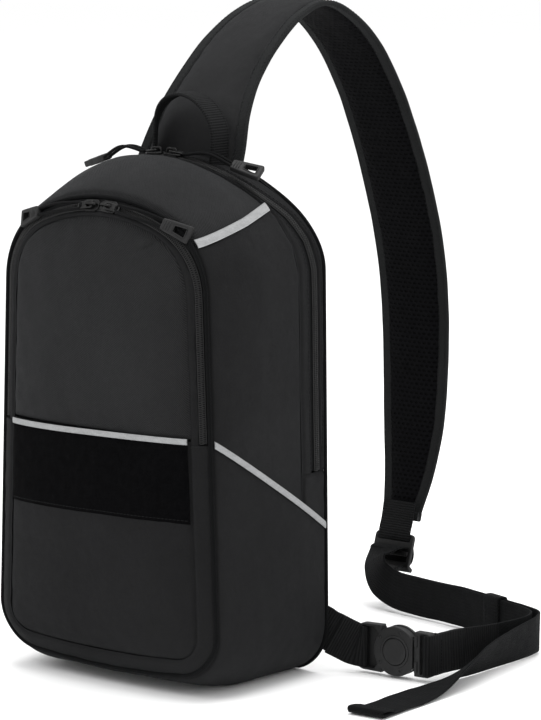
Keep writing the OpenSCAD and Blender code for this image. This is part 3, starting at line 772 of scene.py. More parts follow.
PATCH_LOW, PATCH_HIGH = 127, FOLD - 3.6     # the loop panel's edges
p, uv = front_panel(FOLD - 0.6, -42, 70, 71)
Build().cloth(p, PADDED, FRONT_OUT, uv).object(
    "pocket_lower_panel", "plain_fabric", "bag", "pocket_lower_panel")
p, uv = front_panel(FOLD + 1.0, 38, 80, 73)
Build().cloth(p, PADDED, FRONT_OUT, uv).object(
    "flap_panel", "twill_fabric", "flap", "flap_panel", blend=FLAP_FOLD)
Build().cloth(p + [0, 3.0, 0], 0.5, FRONT_OUT, uv).object("flap_lining", "lining", "flap", blend=FLAP_FOLD)

# loop panel across the front, under the tape
zz = np.linspace(PATCH_LOW, PATCH_HIGH, 44)
ww = half_width(zz, HI) - 1.2
x = np.linspace(-1, 1, 100)[:, None] * ww[None]
z = zz[None] + 1.1 * np.sin(x / 55)
p = np.stack([x, front_y(x, z), z], -1)
edge = np.minimum((ww[None] - np.abs(x)), np.minimum(zz - PATCH_LOW, PATCH_HIGH - zz)[None])
p[..., 1] -= 1.5 - 1.1 * bell(edge, 1.6) + 0.12 * waves(p, 9, 83) + 0.3 * waves(p, 40, 85)
Build().cloth(p, 1.0, FRONT_OUT).object("loop_patch", "loop_pile", "bag", "loop_patch")
stitches(thread, p[:, 2] + [0, -0.2, 0], FRONT_OUT)

# reflective tape along the fold
rows = []
for k in np.linspace(0, 1, 7):
    u = np.linspace(-1, 1, 100)
    z = FOLD - 3.8 + 4.2 * k + 1.1 * np.sin(u * 86 / 55)
    x = u * (half_width(z, HI) - 0.9)
    rows.append(np.stack([x, front_y(x, z) - 1.6 - 0.3 * (1 - (2 * k - 1) ** 4), z], -1))
Build().cloth(np.stack(rows, 1), 0.7, FRONT_OUT).object("front_tape", "reflective_tape", "bag", "front_tape")


def ring_strip(T, k0, k1, rows, lift=0.0, thick=1.3, seed=5, seam=0.9, pucker=0.25):
    """A strip of the sloping gusset from k0 to k1 across it."""
    k0, k1 = (np.broadcast_to(np.asarray(q, float), T.shape)[:, None] for q in (k0, k1))
    p = ring_point(T[:, None], k0 + (k1 - k0) * np.linspace(0, 1, rows)[None])
    n = grid_normals(p)
    if n[..., 1].sum() > 0:
        n = -n
    sv = lengths(p.transpose(1, 0, 2))
    edge = np.minimum(sv, sv[-1] - sv)[None]
    d = lift - seam * bell(edge, 1.1) + pucker * fade(edge, 6) * waves(p, 12, seed)
    return Build().cloth(p + n * d[..., None], thick, n)


T_SEAM = t_outline(184.0, HP)
T_low = np.linspace(T_SEAM, -T_SEAM, 220)
T_up = np.linspace(T_SEAM, 2 - T_SEAM, 240)
# the pocket's zip: along the middle of the gusset over the crown, further out down the sides
KZ = 0.5 - 0.16 * step(np.abs(T_up - 1) * ROUND, 75, 140)
TAPE = {"rows": 5, "lift": -0.7, "thick": 0.5, "seam": 0, "pucker": 0}
ring_strip(T_low, 0.04, 0.97, 12, 0.6, seed=91).object("pocket_gusset", "plain_fabric", "bag", "pocket_gusset")
ring_strip(T_up, 0.04, KZ - 0.19, 4, seed=92).object("pocket_zip_facing", "plain_fabric", "bag")
ring_strip(T_up, KZ + 0.2, 0.97, 6, seed=93).object("flap_gusset", "plain_fabric", "flap", "flap_gusset",
                                                    blend=FLAP_FOLD)
ring_strip(T_up, KZ - 0.27, KZ - 0.045, **TAPE).object("pocket_zip_tape", "zip_tape", "bag", "pocket_zip_tape")
ring_strip(T_up, KZ + 0.045, KZ + 0.27, **TAPE).object("flap_zip_tape", "zip_tape", "flap", "flap_zip_tape",
                                                       blend=FLAP_FOLD)


def piping(path, T, outline, r, sides, forward):
    """A cord round a whole seam; forward is the direction that turns the section from outward."""
    ang = on_outline(outline, T)[2]
    radial = np.stack([np.cos(ang), 0 * ang, np.sin(ang)], -1)
    a = circle(sides)[None, :, None]
    ring = path[:, None] + r * (np.cos(a) * radial[:, None] + np.sin(a) * np.asarray(forward))
    return Build().grid(ring, cu=True, cv=True)


T_all = np.linspace(0, 2, 400, endpoint=False)
piping(ring_point(T_all, 0.0) + [0, -0.9, 0], T_all, HP, 1.7, 10, FRONT_OUT).object(
    "pocket_piping", "binding", "bag", "pocket_piping")

# ---------------------------------------------------------------- zips
PITCH = 1.55            # between the teeth of one coil
TOOTH_R = 0.42
TOOTH_PATH = np.array([[0, 2.5, 0.15], [0, 2.0, 0.95], [0, 1.0, 1.15], [0, 0.0, 0.95], [0, -0.7, 0.35]])
TOOTH = Build()
tube(TOOTH, TOOTH_PATH, np.array([0.8, 1, 1, 1, 0.8]) * TOOTH_R, 6)


def zip_rows(centre, normal):
    """Even stations along a zip: centre, along, across, normal."""
    s = running(centre)
    t = np.arange(PITCH, s[-1] - PITCH, PITCH)
    c, n = sample(t, s, centre), unit(sample(t, s, normal))
    a = tangents(c)
    return c, a, unit(np.cross(n, a)), n


def coil(b, rows, flip):
    """One coil: a tooth at each station and the cord that it is wound on."""
    c, a, x, n = rows
    verts, faces = TOOTH.v[0], TOOTH.f
    x = -x if flip else x
    p = (c + a * (PITCH / 2 if flip else 0))[:, None] + (verts[None, :, :1] * a[:, None]
                                                         + verts[None, :, 1:2] * x[:, None]
                                                         + verts[None, :, 2:] * n[:, None])
    b.add(p, [[k + i * len(verts) for k in f] for i in range(len(c)) for f in faces],
          np.tile(verts[:, :2], (len(c), 1)))
    return tube(b, c + x * 2.35 + n * 0.35, 0.5, 6)


def zip_tape(b, rows, side):
    c, _, x, n = (q[::3] for q in rows)
    t = np.linspace(0, 1, 6)[None, :, None]
    p = c[:, None] + x[:, None] * side * (0.5 + 6.7 * t) + n[:, None] * (0.25 * t ** 2 - 0.35)
    b.cloth(p, 0.6, np.broadcast_to(n[:, None], p.shape))


main_rows = zip_rows(shell(T_band, ZY, -1.0), unit(band_out))
b = Build()
coil(b, main_rows, False)
coil(b, main_rows, True).object("main_zip_coils", "zip_coil", "bag", "main_zip_coils")
b = Build()
for side in (1, -1):
    zip_tape(b, main_rows, side)
b.object("main_zip_tape", "zip_tape", "bag", "main_zip_tape")

pn = grid_normals(ring_point(T_up[:, None], np.linspace(0.4, 0.6, 3)[None]))[:, 1]
pn = pn if pn[:, 1].sum() < 0 else -pn
pocket_rows = zip_rows(ring_point(T_up, KZ) - pn * 1.2, pn)
coil(Build(), pocket_rows, False).object("zip_coil_a", "zip_coil", "bag", "pocket_zip_coil")
coil(Build(), pocket_rows, True).object("zip_coil_b", "zip_coil", "flap", "flap_zip_coil", blend=FLAP_FOLD)

# ---------------------------------------------------------------- moulded plates


def plate_mesh(loops, thick, bevel, segments):
    """A bevelled plate from 2D outlines in mm: the first is the outside and the rest are holes."""
    cu = bpy.data.curves.new("Outline", "CURVE")
    cu.dimensions, cu.fill_mode = "2D", "BOTH"
    cu.extrude, cu.bevel_depth, cu.bevel_resolution = thick / 2 - bevel, bevel, segments
    cu.offset = -bevel
    for loop in loops:
        s = cu.splines.new("POLY")
        s.points.add(len(loop) - 1)
        for q, xy in zip(s.points, loop):
            q.co = (xy[0], xy[1], 0, 1)
        s.use_cyclic_u = True
    o = bpy.data.objects.new("Outline", cu)
    me = bpy.data.meshes.new_from_object(o)
    v = np.array([p.co for p in me.vertices])
    f = [list(p.vertices) for p in me.polygons]
    bpy.data.objects.remove(o)
    bpy.data.curves.remove(cu)
    bpy.data.meshes.remove(me)
    return v, f


def rounded(pts, r, n=5):
    """A polygon with its corners rounded to radius r, or one radius per corner."""
    p = np.asarray(pts, float)
    rr = np.broadcast_to(np.asarray(r, float), (len(p),))
    out = []
    for i in range(len(p)):
        a, c, d = p[i - 1], p[i], p[(i + 1) % len(p)]
        u, w = unit(a - c), unit(d - c)
        half = math.acos(max(-1, min(1, float(u @ w)))) / 2
        t = min(rr[i] / math.tan(half), 0.49 * np.linalg.norm(a - c), 0.49 * np.linalg.norm(d - c))
        s, e = c + u * t, c + w * t
        for k in np.linspace(0, 1, n):
            out.append((1 - k) ** 2 * s + 2 * k * (1 - k) * c + k ** 2 * e)
    return np.array(out)


def box(x0, y0, x1, y1, r, n=5):
    return rounded([(x0, y0), (x1, y0), (x1, y1), (x0, y1)], r, n)


def mirror(half, r, flip=(1, -1)):
    """A rounded outline from half of its corners; flip is what mirrors the other half."""
    h, rr = np.array(half, float), np.broadcast_to(np.asarray(r, float), (len(half),))
    return rounded(np.concatenate([h, h[::-1] * flip]), np.concatenate([rr, rr[::-1]]))


def disc(r, n=60, a0=0.0, a1=360.0):
    a = np.radians(np.linspace(a0, a1, n, endpoint=a1 - a0 < 359))
    return np.stack([r * np.cos(a), r * np.sin(a)], -1)


class Place:
    """A local frame: origin and three axes, in mm."""

    def __init__(self, o, x, y, z):
        self.o, self.m = np.asarray(o, float), np.stack([unit(x), unit(y), unit(z)])

    def __call__(self, p):
        return self.o + np.asarray(p, float) @ self.m


def rotate(v, axis, deg):
    a, k = math.radians(deg), unit(axis)
    v = np.asarray(v, float)
    return v * math.cos(a) + np.cross(k, v) * math.sin(a) + k * (v @ k)[..., None] * (1 - math.cos(a))


def spin(u, v, deg):
    """The axes u and v turned in their plane, u towards v."""
    c, s = math.cos(math.radians(deg)), math.sin(math.radians(deg))
    return u * c + v * s, v * c - u * s


def add_plate(b, place, loops, thick, z, bevel=0.3, order=(0, 1, 2), segments=2):
    """A plate in the place's own axes; order names which local axis each plate axis follows."""
    v, f = plate_mesh(loops, thick, bevel, segments)
    q = np.zeros_like(v)
    for i, k in enumerate(order):
        q[:, k] = v[:, i]
    q[:, order[2]] += z
    b.add(place(q), f, v[:, :2])


# ---------------------------------------------------------------- zip sliders and their pulls
TILT = math.radians(38.66)      # the main sliders' axis leans back by this
MAIN_R, MAIN_APEX = 96.0, np.array([0, 4, 374.8])
MAIN_AXIS = np.array([0, math.cos(TILT), math.sin(TILT)])
MAIN_C = MAIN_APEX + MAIN_R * np.array([0, math.sin(TILT), -math.cos(TILT)])
POCKET_R = 150 - GUSSET_IN / 2
POCKET_C = np.array([0, FRONT - GUSSET_OUT / 2, 201.0])
SLOPE = math.radians(90) - math.atan2(GUSSET_OUT, GUSSET_IN)
FROM_MIDDLE = 7.0               # of the zip to each slider, at rest
BRIDGE_Z = 4.1                  # where the link hangs, over the tape
LINK_END, CORD_R = 12.0, 1.15
# reach of the cord, hump, sideways bend, pitch and roll of the grip
PULLS = {("main", "left"): (60.0, 5.6, 0.0012, -2, 10), ("main", "right"): (50.0, 4.6, 0.0040, -5, 32),
         ("pocket", "left"): (53.0, 1.6, -0.0012, 13, 6), ("pocket", "right"): (53.0, 1.6, -0.0012, 13, 6)}


def zip_place(which, side):
    """Frame of a slider: x away from the middle, y across the zip (up or back), z out of the tape."""
    sg = -1.0 if side == "left" else 1.0
    if which == "main":
        r, c, axis, apex = MAIN_R, MAIN_C, MAIN_AXIS, MAIN_APEX
        z, y = np.array([0, 0, 1.0]), np.array([0, 1.0, 0])
    else:
        r, c, axis = POCKET_R, POCKET_C, np.array([0, 1.0, 0])
        apex = c + [0, 0, r]
        y = np.array([0, math.cos(SLOPE), math.sin(SLOPE)])
        z = np.array([0, -math.sin(SLOPE), math.cos(SLOPE)])
    a = sg * math.degrees(FROM_MIDDLE / r)
    return Place(c + rotate(apex - c, axis, a), *(rotate(v, axis, a) for v in ([sg, 0, 0], y, z)))


def make_slider(which, side):
    pl = zip_place(which, side)
    b = Build()
    body = mirror([(-6.2, -2.4), (-3.6, -4.2), (6.4, -4.2), (9.0, -2.4)], 1.2)
    add_plate(b, pl, [body], 1.3, 1.95, 0.32)
    add_plate(b, pl, [body * [0.98, 0.94]], 1.0, -1.2)
    for s in (-1, 1):       # side flanges that guide the coil
        add_plate(b, pl, [box(-3.0, 1.5, 6.4, -0.2, 0.3)], 0.7, s * 3.9, 0.2, (0, 2, 1))
    bridge = mirror([(-5.4, 2.3), (-4.9, 5.1), (-3.4, 6.5)], 0.8, (-1, 1))
    hole = mirror([(-3.9, 2.4), (-3.6, 4.9), (-2.9, 5.35)], 0.5, (-1, 1))
    add_plate(b, pl, [bridge, hole], 1.5, 0, 0.28, (0, 2, 1))
    node = f"{which}_slider_{side}"     # the body has the same name
    b.object(f"{which}_slider_body_{side}", "slider_metal", node, node, fix=True)


def make_pull(which, side):
    """Link ring, cord loop and grip ring, in a frame that leaves the slider's bridge."""
    pl = zip_place(which, side)
    drop, turn = (5, 7) if which == "main" else (4, -5)
    x, y = spin(pl.m[0], pl.m[1], turn)
    z, x = spin(pl.m[2], x, drop)
    local = Place(pl.o + pl.m[2] * BRIDGE_Z, x, y, z)
    body = f"{which}_pull_{side}"
    reach, hump, bend, pitch, roll = PULLS[which, side]

    def line(x):
        """Middle of the pull, away from the slider: a stiff loop that humps up and then falls."""
        x = np.asarray(x, float)
        k = np.clip((x - LINK_END) / (reach - LINK_END), 0, 1)
        return np.stack([x, bend * np.maximum(x - 26, 0) ** 2, hump * np.sin(math.pi * k) ** 1.3 - 1.0 * k], -1)

    b = Build()             # link between the bridge and the cord
    outer = mirror([(-1.6, -3.0), (12.6, -2.6)], [1.6, 2.2])
    inner = mirror([(0.1, -1.7), (11.2, -1.4)], [1.0, 1.3])
    add_plate(b, local, [outer, inner], 1.3, 0, 0.35)
    add_plate(b, local, [box(4.0, -1.9, 8.6, 1.9, 0.6)], 1.1, 0)
    b.object(f"{which}_link_{side}", "slider_metal", body, fix=True)

    b = Build()             # the cord: out along one side, round through the link and back
    x = np.linspace(LINK_END, reach, 44)
    mid = line(x)
    off = (2.5 + 0.5 * np.sin(math.pi * (x - LINK_END) / (reach - LINK_END)))[:, None] * [0, 1, 0]
    a = np.radians(np.linspace(270, 90, 14))[1:-1]
    loop = np.stack([LINK_END + 2.5 * np.cos(a), 2.5 * np.sin(a), 0 * a], -1)
    tube(b, local(np.concatenate([(mid - off)[::-1], loop, mid + off])), CORD_R, 12)
    b.object(f"{which}_cord_{side}_braid", "pull_cord", body, f"{which}_cord_{side}")

    # grip: its own frame at the end of the cord
    tip = line(reach)
    gx = unit(tip - line(reach - 1.0))
    up = unit(np.cross(gx, [0, 1.0, 0]))
    up, gx = spin(up if up[2] > 0 else -up, gx, pitch)
    gy, up = spin(unit(np.cross(up, gx)), up, roll)
    grip = Place(local(tip), *(unit(local(v) - local([0, 0, 0])) for v in (gx, gy, up)))
    b = Build()
    shape = mirror([(-1.5, -4.0), (5, -4.9), (21.5, -6.6)], [1.2, 4, 1.8])
    window = mirror([(8.2, -2.5), (18.0, -3.7)], 1.0)
    add_plate(b, grip, [shape, window], 4.4, 0, 0.9, segments=3)
    for k in range(3):      # grip ribs near the cord
        for sgn in (-1, 1):
            tube(b, grip([[1.0 + 1.9 * k, -3.4, sgn * 2.15], [1.0 + 1.9 * k, 3.4, sgn * 2.15]]), 0.42, 8)
    rim = np.concatenate([window, window[:1]])
    for sgn in (-1, 1):     # a raised lip round the window
        tube(b, grip(np.column_stack([rim, np.full(len(rim), sgn * 2.1)])), 0.45, 8)
    b.object(f"{which}_grip_{side}_ring", "grip_rubber", body, f"{which}_grip_{side}", fix=True)


for which in ("main", "pocket"):
    for side in ("left", "right"):
        make_slider(which, side)
        make_pull(which, side)


def square_to(v, d):
    """The unit vectors v made square to the directions d."""
    return unit(v - d * (v * d).sum(1)[:, None])


THREAD_LIFT = 0.95              # of stitches over the middle of a webbing


def cross_stitches(b, middle, across, normal, half=13, n=24, pitch=2.4, length=1.8, r=0.26):
    """A row of stitches across a strap."""
    return stitches(b, middle + np.linspace(-half, half, n)[:, None] * across, normal, pitch, length, r)


# ---------------------------------------------------------------- grab handle
HANDLE_X, HANDLE_Y, HANDLE_Z, HANDLE_R, HANDLE_ROOT = 4.0, 24.0, 388.0, 30.2, 363.0
HANDLE_HALF, HANDLE_T, HANDLE_SEAM = 10, 1.15, 7.6      # half width and thickness, stitches from the middle
HANDLE_BLEND = ((0.004, 0.024, 0.373), (0.004, 0.024, 0.387))       # a strip at its roots in the seam, given as blend
a = np.radians(np.linspace(0, 180, 70))
arch = np.array([HANDLE_X, HANDLE_Y, HANDLE_Z]) + HANDLE_R * np.stack([np.cos(a), 0 * a, np.sin(a)], -1)
k = np.linspace(0, 1, 16)[:-1, None]
right_leg = np.array([HANDLE_X + HANDLE_R, HANDLE_Y, HANDLE_ROOT]) * (1 - k) + arch[0] * k
left_leg = arch[-1] * (1 - k[::-1]) + np.array([HANDLE_X - HANDLE_R, HANDLE_Y, HANDLE_ROOT]) * k[::-1]
hp = np.concatenate([right_leg, arch, left_leg])
hp[:, 0] += 0.8 * np.sin((hp[:, 2] - 376) / 9)
hd = tangents(hp)
turn = np.radians(36) * step(np.arange(len(hp)), 44, 84)            # the left leg is twisted a little
ha = square_to(np.stack([-np.sin(turn), np.cos(turn), 0 * turn], -1), hd)
hn = unit(np.cross(hd, ha))
hn = hn * np.sign(((hp - [HANDLE_X, HANDLE_Y, 384]) * hn).sum(1))[:, None]
sweep(Build(), hp, ha, hn, section(HANDLE_HALF, HANDLE_T)).object("grab_handle_web", "webbing", "handle", "grab_handle",
                                                        blend=HANDLE_BLEND)
b = Build()
for s in (-1, 1):
    stitches(b, hp + ha * HANDLE_SEAM * s + hn * HANDLE_T, hn, r=0.24)
b.object("grab_handle_stitches", "stitching", "handle", blend=HANDLE_BLEND)

# ---------------------------------------------------------------- shoulder strap
BORDER, BORDER_T = 9.5, 1.9      # width and half thickness of the strap's border
X_AXIS = np.array([1.0, 0, 0])
STRAP = [[30.5, 357, 50], [38, 379, 48], [47, 402, 43.4], [66, 428, 38.4], [92, 452, 36], [122, 470, 33],
         [155, 478, 31], [187, 467, 31.5], [218, 443, 32], [244, 409, 32], [264, 372, 32.5], [281, 332, 33],
         [296, 286, 33], [304, 240, 32.5], [306, 190, 31.5], [304, 140, 29], [298, 100, 23.5], [289, 69, 17.8]]
line = resample(spline(STRAP, 12), 190)     # depth, height and half width
sc = np.stack([np.zeros(len(line)), line[:, 0], line[:, 1]], -1)
sd = tangents(sc)
sn = unit(np.cross(X_AXIS, sd))
sn = sn * np.sign(((sc - [0, 150, 250]) * sn).sum(1).mean())        # away from the bag
sx = np.tile(X_AXIS, (len(line), 1))
sw = line[:, 2]
run = running(sc)
sc[:, 0] -= 2.4 * (1 - step(run, 0, 45))    # the root sits a little to one side
ends = step(run, 0, 16) * (1 - step(run, run[-1] - 14, run[-1]))


def strap_sheet(name, mat, node, sign, inset, height, seed):
    """One padded face of the strap: sign 1 is the outer one."""
    w = (sw - inset)[:, None]
    x = np.linspace(-1, 1, 46)[None] * w
    edge = np.maximum(np.minimum(w - np.abs(x), np.minimum(run, run[-1] - run)[:, None]), 0)
    flat = sc[:, None] + x[..., None] * sx[:, None]
    puff = height * (1 - fade(edge, 5.0)) * (0.45 + 0.55 * ends[:, None])
    puff = puff + 0.25 * waves(flat, 70, seed) + 0.28 * fade(edge, 9) * waves(flat, 11, seed + 1)
    n = sign * np.broadcast_to(sn[:, None], flat.shape)
    uv = np.stack([x, np.broadcast_to(run[:, None], x.shape)], -1)
    o = Build().cloth(flat + n * (1.3 + puff)[..., None], 0.9, n, uv).object(name, mat, "strap", node)


strap_sheet("strap_cover", "strap_fabric", "strap_pad", 1, BORDER - 0.6, 2.9, 201)
strap_sheet("strap_air_mesh", "air_mesh", "strap_mesh", -1, BORDER - 2.2, 3.0, 205)
b = Build()
for s in (-1, 1):
    mid = sc + sx * (s * (sw - BORDER / 2))[:, None] + sn * (0.12 * waves(sc, 26, 210 + s))[:, None]
    sweep(b, mid, sx, sn, section(BORDER / 2, BORDER_T, 7, 1.6))
b.object("strap_border", "strap_border", "strap")
b = Build()
for s in (-1, 1):
    for inset in (1.8, BORDER - 1.6):
        for face in (1, -1):
            stitches(b, sc + sx * (s * (sw - inset))[:, None] + sn * BORDER_T * face, sn * face, 3.6, 2.6, 0.3)
b.object("strap_stitches", "stitching", "strap")

# the seam that closes the lower end, and the tape that joins it to the lock
end = sc[-1] + np.linspace(-1, 1, 30)[:, None] * (sx[-1] * (sw[-1] - 0.4))
sweep(Build(), end, np.tile(sd[-1], (30, 1)), np.tile(sn[-1], (30, 1)), section(4.0, 2.6, 6, 2.0)).object(
    "strap_end_binding", "strap_border", "strap")
tab = spline([[0, 287.5, 80], [0, 284.4, 66], [0, 281.6, 58], [0, 280.4, 52.6], [0, 281.2, 50.6], [0, 284, 52]], 10)
tn = unit(np.cross(tangents(tab), X_AXIS))
tn = tn if tn[:, 1].mean() < 0 else -tn
sweep(Build(), tab + tn * 1.4, np.tile(X_AXIS, (len(tab), 1)), tn, section(15.4, 0.8, 5)).object(
    "strap_end_web", "webbing", "strap", "strap_end_tab")
b = Build()
for q in (5, 8):
    cross_stitches(b, tab[q] + tn[q] * 2.25, X_AXIS, tn[q], 13.5, 30, 2.6, 1.9, 0.25)
b.object("strap_end_stitches", "stitching", "strap")

# ---------------------------------------------------------------- ladder lock
LOCK_TILT = -18
LOCK = Place([0, 278.2, 44], X_AXIS, *(rotate(v, X_AXIS, LOCK_TILT) for v in ([0, 0, 1.0], [0, -1.0, 0])))
b = Build()
add_plate(b, LOCK, [box(-18.5, -14, 18.5, 12, [3, 3, 4, 4]), box(-15.6, 5.6, 15.6, 8.6, 0.9),
                    box(-15.6, -10.4, 15.6, 1.2, 0.9)], 3.4, 0, 0.6)
add_plate(b, LOCK, [box(-16, -5.6, 16, -2, 0.8)], 4.0, 0.7, 0.5)
for k in np.arange(-14, 14.1, 2):       # teeth on the bar
    tube(b, LOCK([[k, -5.2, 2.8], [k, -2.3, 2.8]]), 0.35, 6)
claw = rounded([(-14.0, 1.6), (-17.2, -1.6), (-17.6, -5.2), (-14.6, -5.6), (-12.4, -1.4), (-11.6, 1.6)], 1.0)
v, f = plate_mesh([claw], 37, 0.8, 2)   # the thumb edge, all across the lower end
b.add(LOCK(v[:, [2, 0, 1]]), f, v[:, [2, 0]])
b.object("ladder_lock_frame", "lock_plastic", "lock", "ladder_lock", fix=True)

# ---------------------------------------------------------------- webbing on the floor
WEB_HALF, WEB_T = 15.0, 0.8     # half width and half thickness
WZ = 16.6                       # height of the middle of webbing that stands on its edge
DOWN = [0, 0, -1]
KEEPER = np.array([134.0, 228.6])
K_TURN = math.radians(-16.5)
KX, KY = np.array([math.cos(K_TURN), math.sin(K_TURN)]), np.array([-math.sin(K_TURN), math.cos(K_TURN)])


def by_keeper(d, off):
    """A point d mm along the webbing from the keeper and off mm beside its middle."""
    return [*(KEEPER + d * KX + off * KY), WZ]


def ribbon(b, pts, widths, seed, curl=0.5):
    """Adds webbing through pts whose width runs along widths, slightly cupped and uneven. Returns its points,
    width directions and normals."""
    p, w = spline(pts, 14), unit(spline(widths, 14))
    d = tangents(p)
    w = square_to(w, d)
    n = unit(np.cross(w, d))
    sec = section(WEB_HALF, WEB_T, 5)
    s = np.broadcast_to(sec, (len(p), *sec.shape)).copy()
    k = s[..., 0] / WEB_HALF
    uneven = 0.18 * waves(np.broadcast_to(p[:, None], (*s.shape[:2], 3)), 30, seed)
    s[..., 1] += curl * (1 - k ** 2) + uneven * k
    sweep(b, p, w, n, s)
    return p, w, n


b = Build()             # from the floor up through the lock
ribbon(b, [[0, 284.5, 36], [0, 277, 45], [0, 266, 45.5], [-1.5, 256.5, 38], [6, 250.5, 27], [22, 249.5, 18.6],
           [46, 246.5, WZ], [76, 242, WZ], by_keeper(-32, -1.8), by_keeper(-15, -1.8), by_keeper(15, -1.8),
           by_keeper(32, -1.8), [180, 209, WZ], [187, 194, WZ], [187, 174, WZ], [184.6, 160, WZ]],
       [[-1, 0, 0], [-1, 0, 0], [-1, 0, -0.12], [-0.78, 0.1, -0.6], [-0.36, 0.05, -0.93], [-0.1, 0, -1]]
       + [DOWN] * 10, 301)
b.object("webbing_far_run", "webbing_fine", "strap", "main_webbing",
         blend=((0.012, 0.25, 0.026), (0.0, 0.279, 0.045)))

b = Build()             # back down from the lock, inside the loop
ribbon(b, [[0, 280.5, 49.5], [0, 283.6, 46.5], [0, 285.2, 38], [0.5, 281, 29], [3, 272, 23], [10, 261, 18.6],
           [24, 253.6, 16.8], [48, 248.8, WZ], [76, 244, WZ], by_keeper(-44, 1.2), by_keeper(-34, 1.7)],
       [[-1, 0, 0], [-1, 0, 0], [-1, 0, 0], [-0.98, 0, -0.2], [-0.8, 0.1, -0.55], [-0.4, 0.05, -0.9], [-0.1, 0, -1]]
       + [DOWN] * 4, 302, 0.3)
b.object("webbing_return_layer", "webbing_fine", "strap", blend=((0.024, 0.2536, 0.0168), (0.0, 0.283, 0.0465)))

NEAR_BLEND = ((0.1846, 0.160, 0.0166), (0.177, 0.100, 0.0166))
b = Build()             # to the buckle's plug, folded round its bar and sewn back on itself
ribbon(b, [[184.6, 160, WZ], [182, 150, WZ], [178.6, 136, WZ + 0.6], [177, 120, WZ + 1.8], [177.2, 104, WZ + 2.6],
           [177.2, 97, 19.4], [177.2, 93, 19.6]], [DOWN] * 7, 303, 0.3)
p, _, n = ribbon(b, [[180.6, 124, 18.6], [179.9, 112, 19.2], [179.7, 100, 19.6], [179.9, 91.5, 19.6],
                     [178.6, 84.4, 19.6], [175.6, 83.2, 19.6], [173.2, 86.0, 19.6], [173.6, 91.5, 19.6],
                     [176.2, 96.5, 19.6]], [DOWN] * 9, 304, 0.1)
b.object("webbing_near_run", "webbing", "male", blend=NEAR_BLEND)
b = Build()
for k in (0.06, 0.14, 0.30):
    i = int(k * len(p))
    nn = n[i] if n[i][0] > 0 else -n[i]
    cross_stitches(b, p[i] + nn * THREAD_LIFT, np.array([0, 0, 1.0]), nn)
b.object("near_run_stitches", "stitching", "male", blend=NEAR_BLEND)

# the free end, which lies down from its edge onto its face
FREE_BLEND = ((0.1936, 0.178, 0.0158), (0.198, 0.106, 0.0115))
free = np.array([by_keeper(-42, 1.8), by_keeper(-15, 1.8), by_keeper(15, 1.8), by_keeper(32, 1.8), [184.2, 213, WZ],
                 [191.6, 198, WZ], [193.6, 178, 15.8], [194.6, 156, 14.9], [196.0, 134, 13.9], [197.2, 118, 12.8],
                 [198, 102, 11.0], [198.2, 84, 8.0], [198, 64, 4.0], [198.6, 40, 1.8], [199.6, 10, 1.6],
                 [201, -18, 1.5]])
lean = np.radians([0, 0, 0, 0, 0, 6, 13, 20, 28, 37, 49, 64, 81, 90, 90, 90.0])[:, None]
d = tangents(free[:, :2])
beside = np.stack([d[:, 1], -d[:, 0], 0 * d[:, 0]], -1)
b = Build()
p, w, _ = ribbon(b, free, beside * np.sin(lean) + np.array(DOWN) * np.cos(lean), 307, 0.35)
d = unit(p[-1] - p[-4])
hem = p[-1] + d * np.array([-13, -6, 0.4, 1.6, 0.4])[:, None]     # its end is turned over and sewn
hem[:, 2] = [3.4, 4.8, 5.2, 3.6, 1.5]
hem = spline(hem, 6)
across = np.tile(w[-1], (len(hem), 1))
sweep(b, hem, across, unit(np.cross(across, tangents(hem))), section(WEB_HALF, WEB_T, 5))
b.object("webbing_free_end", "webbing_fine", "male", "free_webbing", blend=FREE_BLEND)
cross_stitches(Build(), hem[5] + [0, 0, 0.9], w[-1], [0, 0, 1.0]).object(
    "free_end_stitches", "stitching", "male", blend=FREE_BLEND)

# the keeper: a sewn loop of webbing round three layers
kp = Place([*KEEPER, 0], [*KX, 0], [0, 0, 1], [*KY, 0])
loop = box(-4.2, 0.9, 4.2, 32.7, 2.4, 8)
loop = resample(np.concatenate([loop, loop[:1]]), 90)[:-1]
d = unit(np.roll(loop, -1, 0) - np.roll(loop, 1, 0))
out = np.stack([d[:, 1], -d[:, 0]], -1)
rings = []
for half, off in ((-9, 0.0), (-9, 0.9), (-8.6, 1.1), (8.6, 1.1), (9, 0.9), (9, 0.0), (8.6, -0.15), (-8.6, -0.15)):
    q = loop + out * (off - 0.5)
    rings.append(kp(np.stack([np.full(len(q), half), q[:, 1], q[:, 0]], -1)))
b = Build().grid(np.stack(rings, 1), cu=True, cv=True)
b.object("keeper_loop", "webbing_fine", "keeper", "keeper", fix=True)
b = Build()
for x in (-6, 6):
    row = np.stack([np.full(20, x), np.linspace(6, 28, 20), np.full(20, -4.95)], -1)
    stitches(b, kp(row), -kp.m[2], 2.6, 1.9, 0.25)
b.object("keeper_stitches", "stitching", "keeper")

# ---------------------------------------------------------------- centre-release buckle
B_TURN = math.radians(4)
FACE_R, BUTTON_R, HOLE_R = 18.2, 9.75, 10.05
BUCKLE = Place([150, 86, 19.6], [math.cos(B_TURN), math.sin(B_TURN), 0], [0, 0, 1],
               [math.sin(B_TURN), -math.cos(B_TURN), 0])
b = Build()
face = disc(FACE_R, 90, 34.5, 325.5)
add_plate(b, BUCKLE, [face, disc(HOLE_R)], 2.6, 3.7, 0.55, segments=3)      # front wall
add_plate(b, BUCKLE, [face], 2.4, -3.8, 0.55, segments=3)                   # back wall
for sgn in (-1, 1):                                                         # side walls of the mouth
    wall = np.concatenate([disc(17.4, 40, 40, 140), disc(12.0, 40, 160, 72)]) * [1, sgn]
    add_plate(b, BUCKLE, [wall], 5.4, 0)
add_plate(b, BUCKLE, [disc(11.9), disc(10.1)], 1.2, 5.1, 0.4, segments=3)   # rim round the button
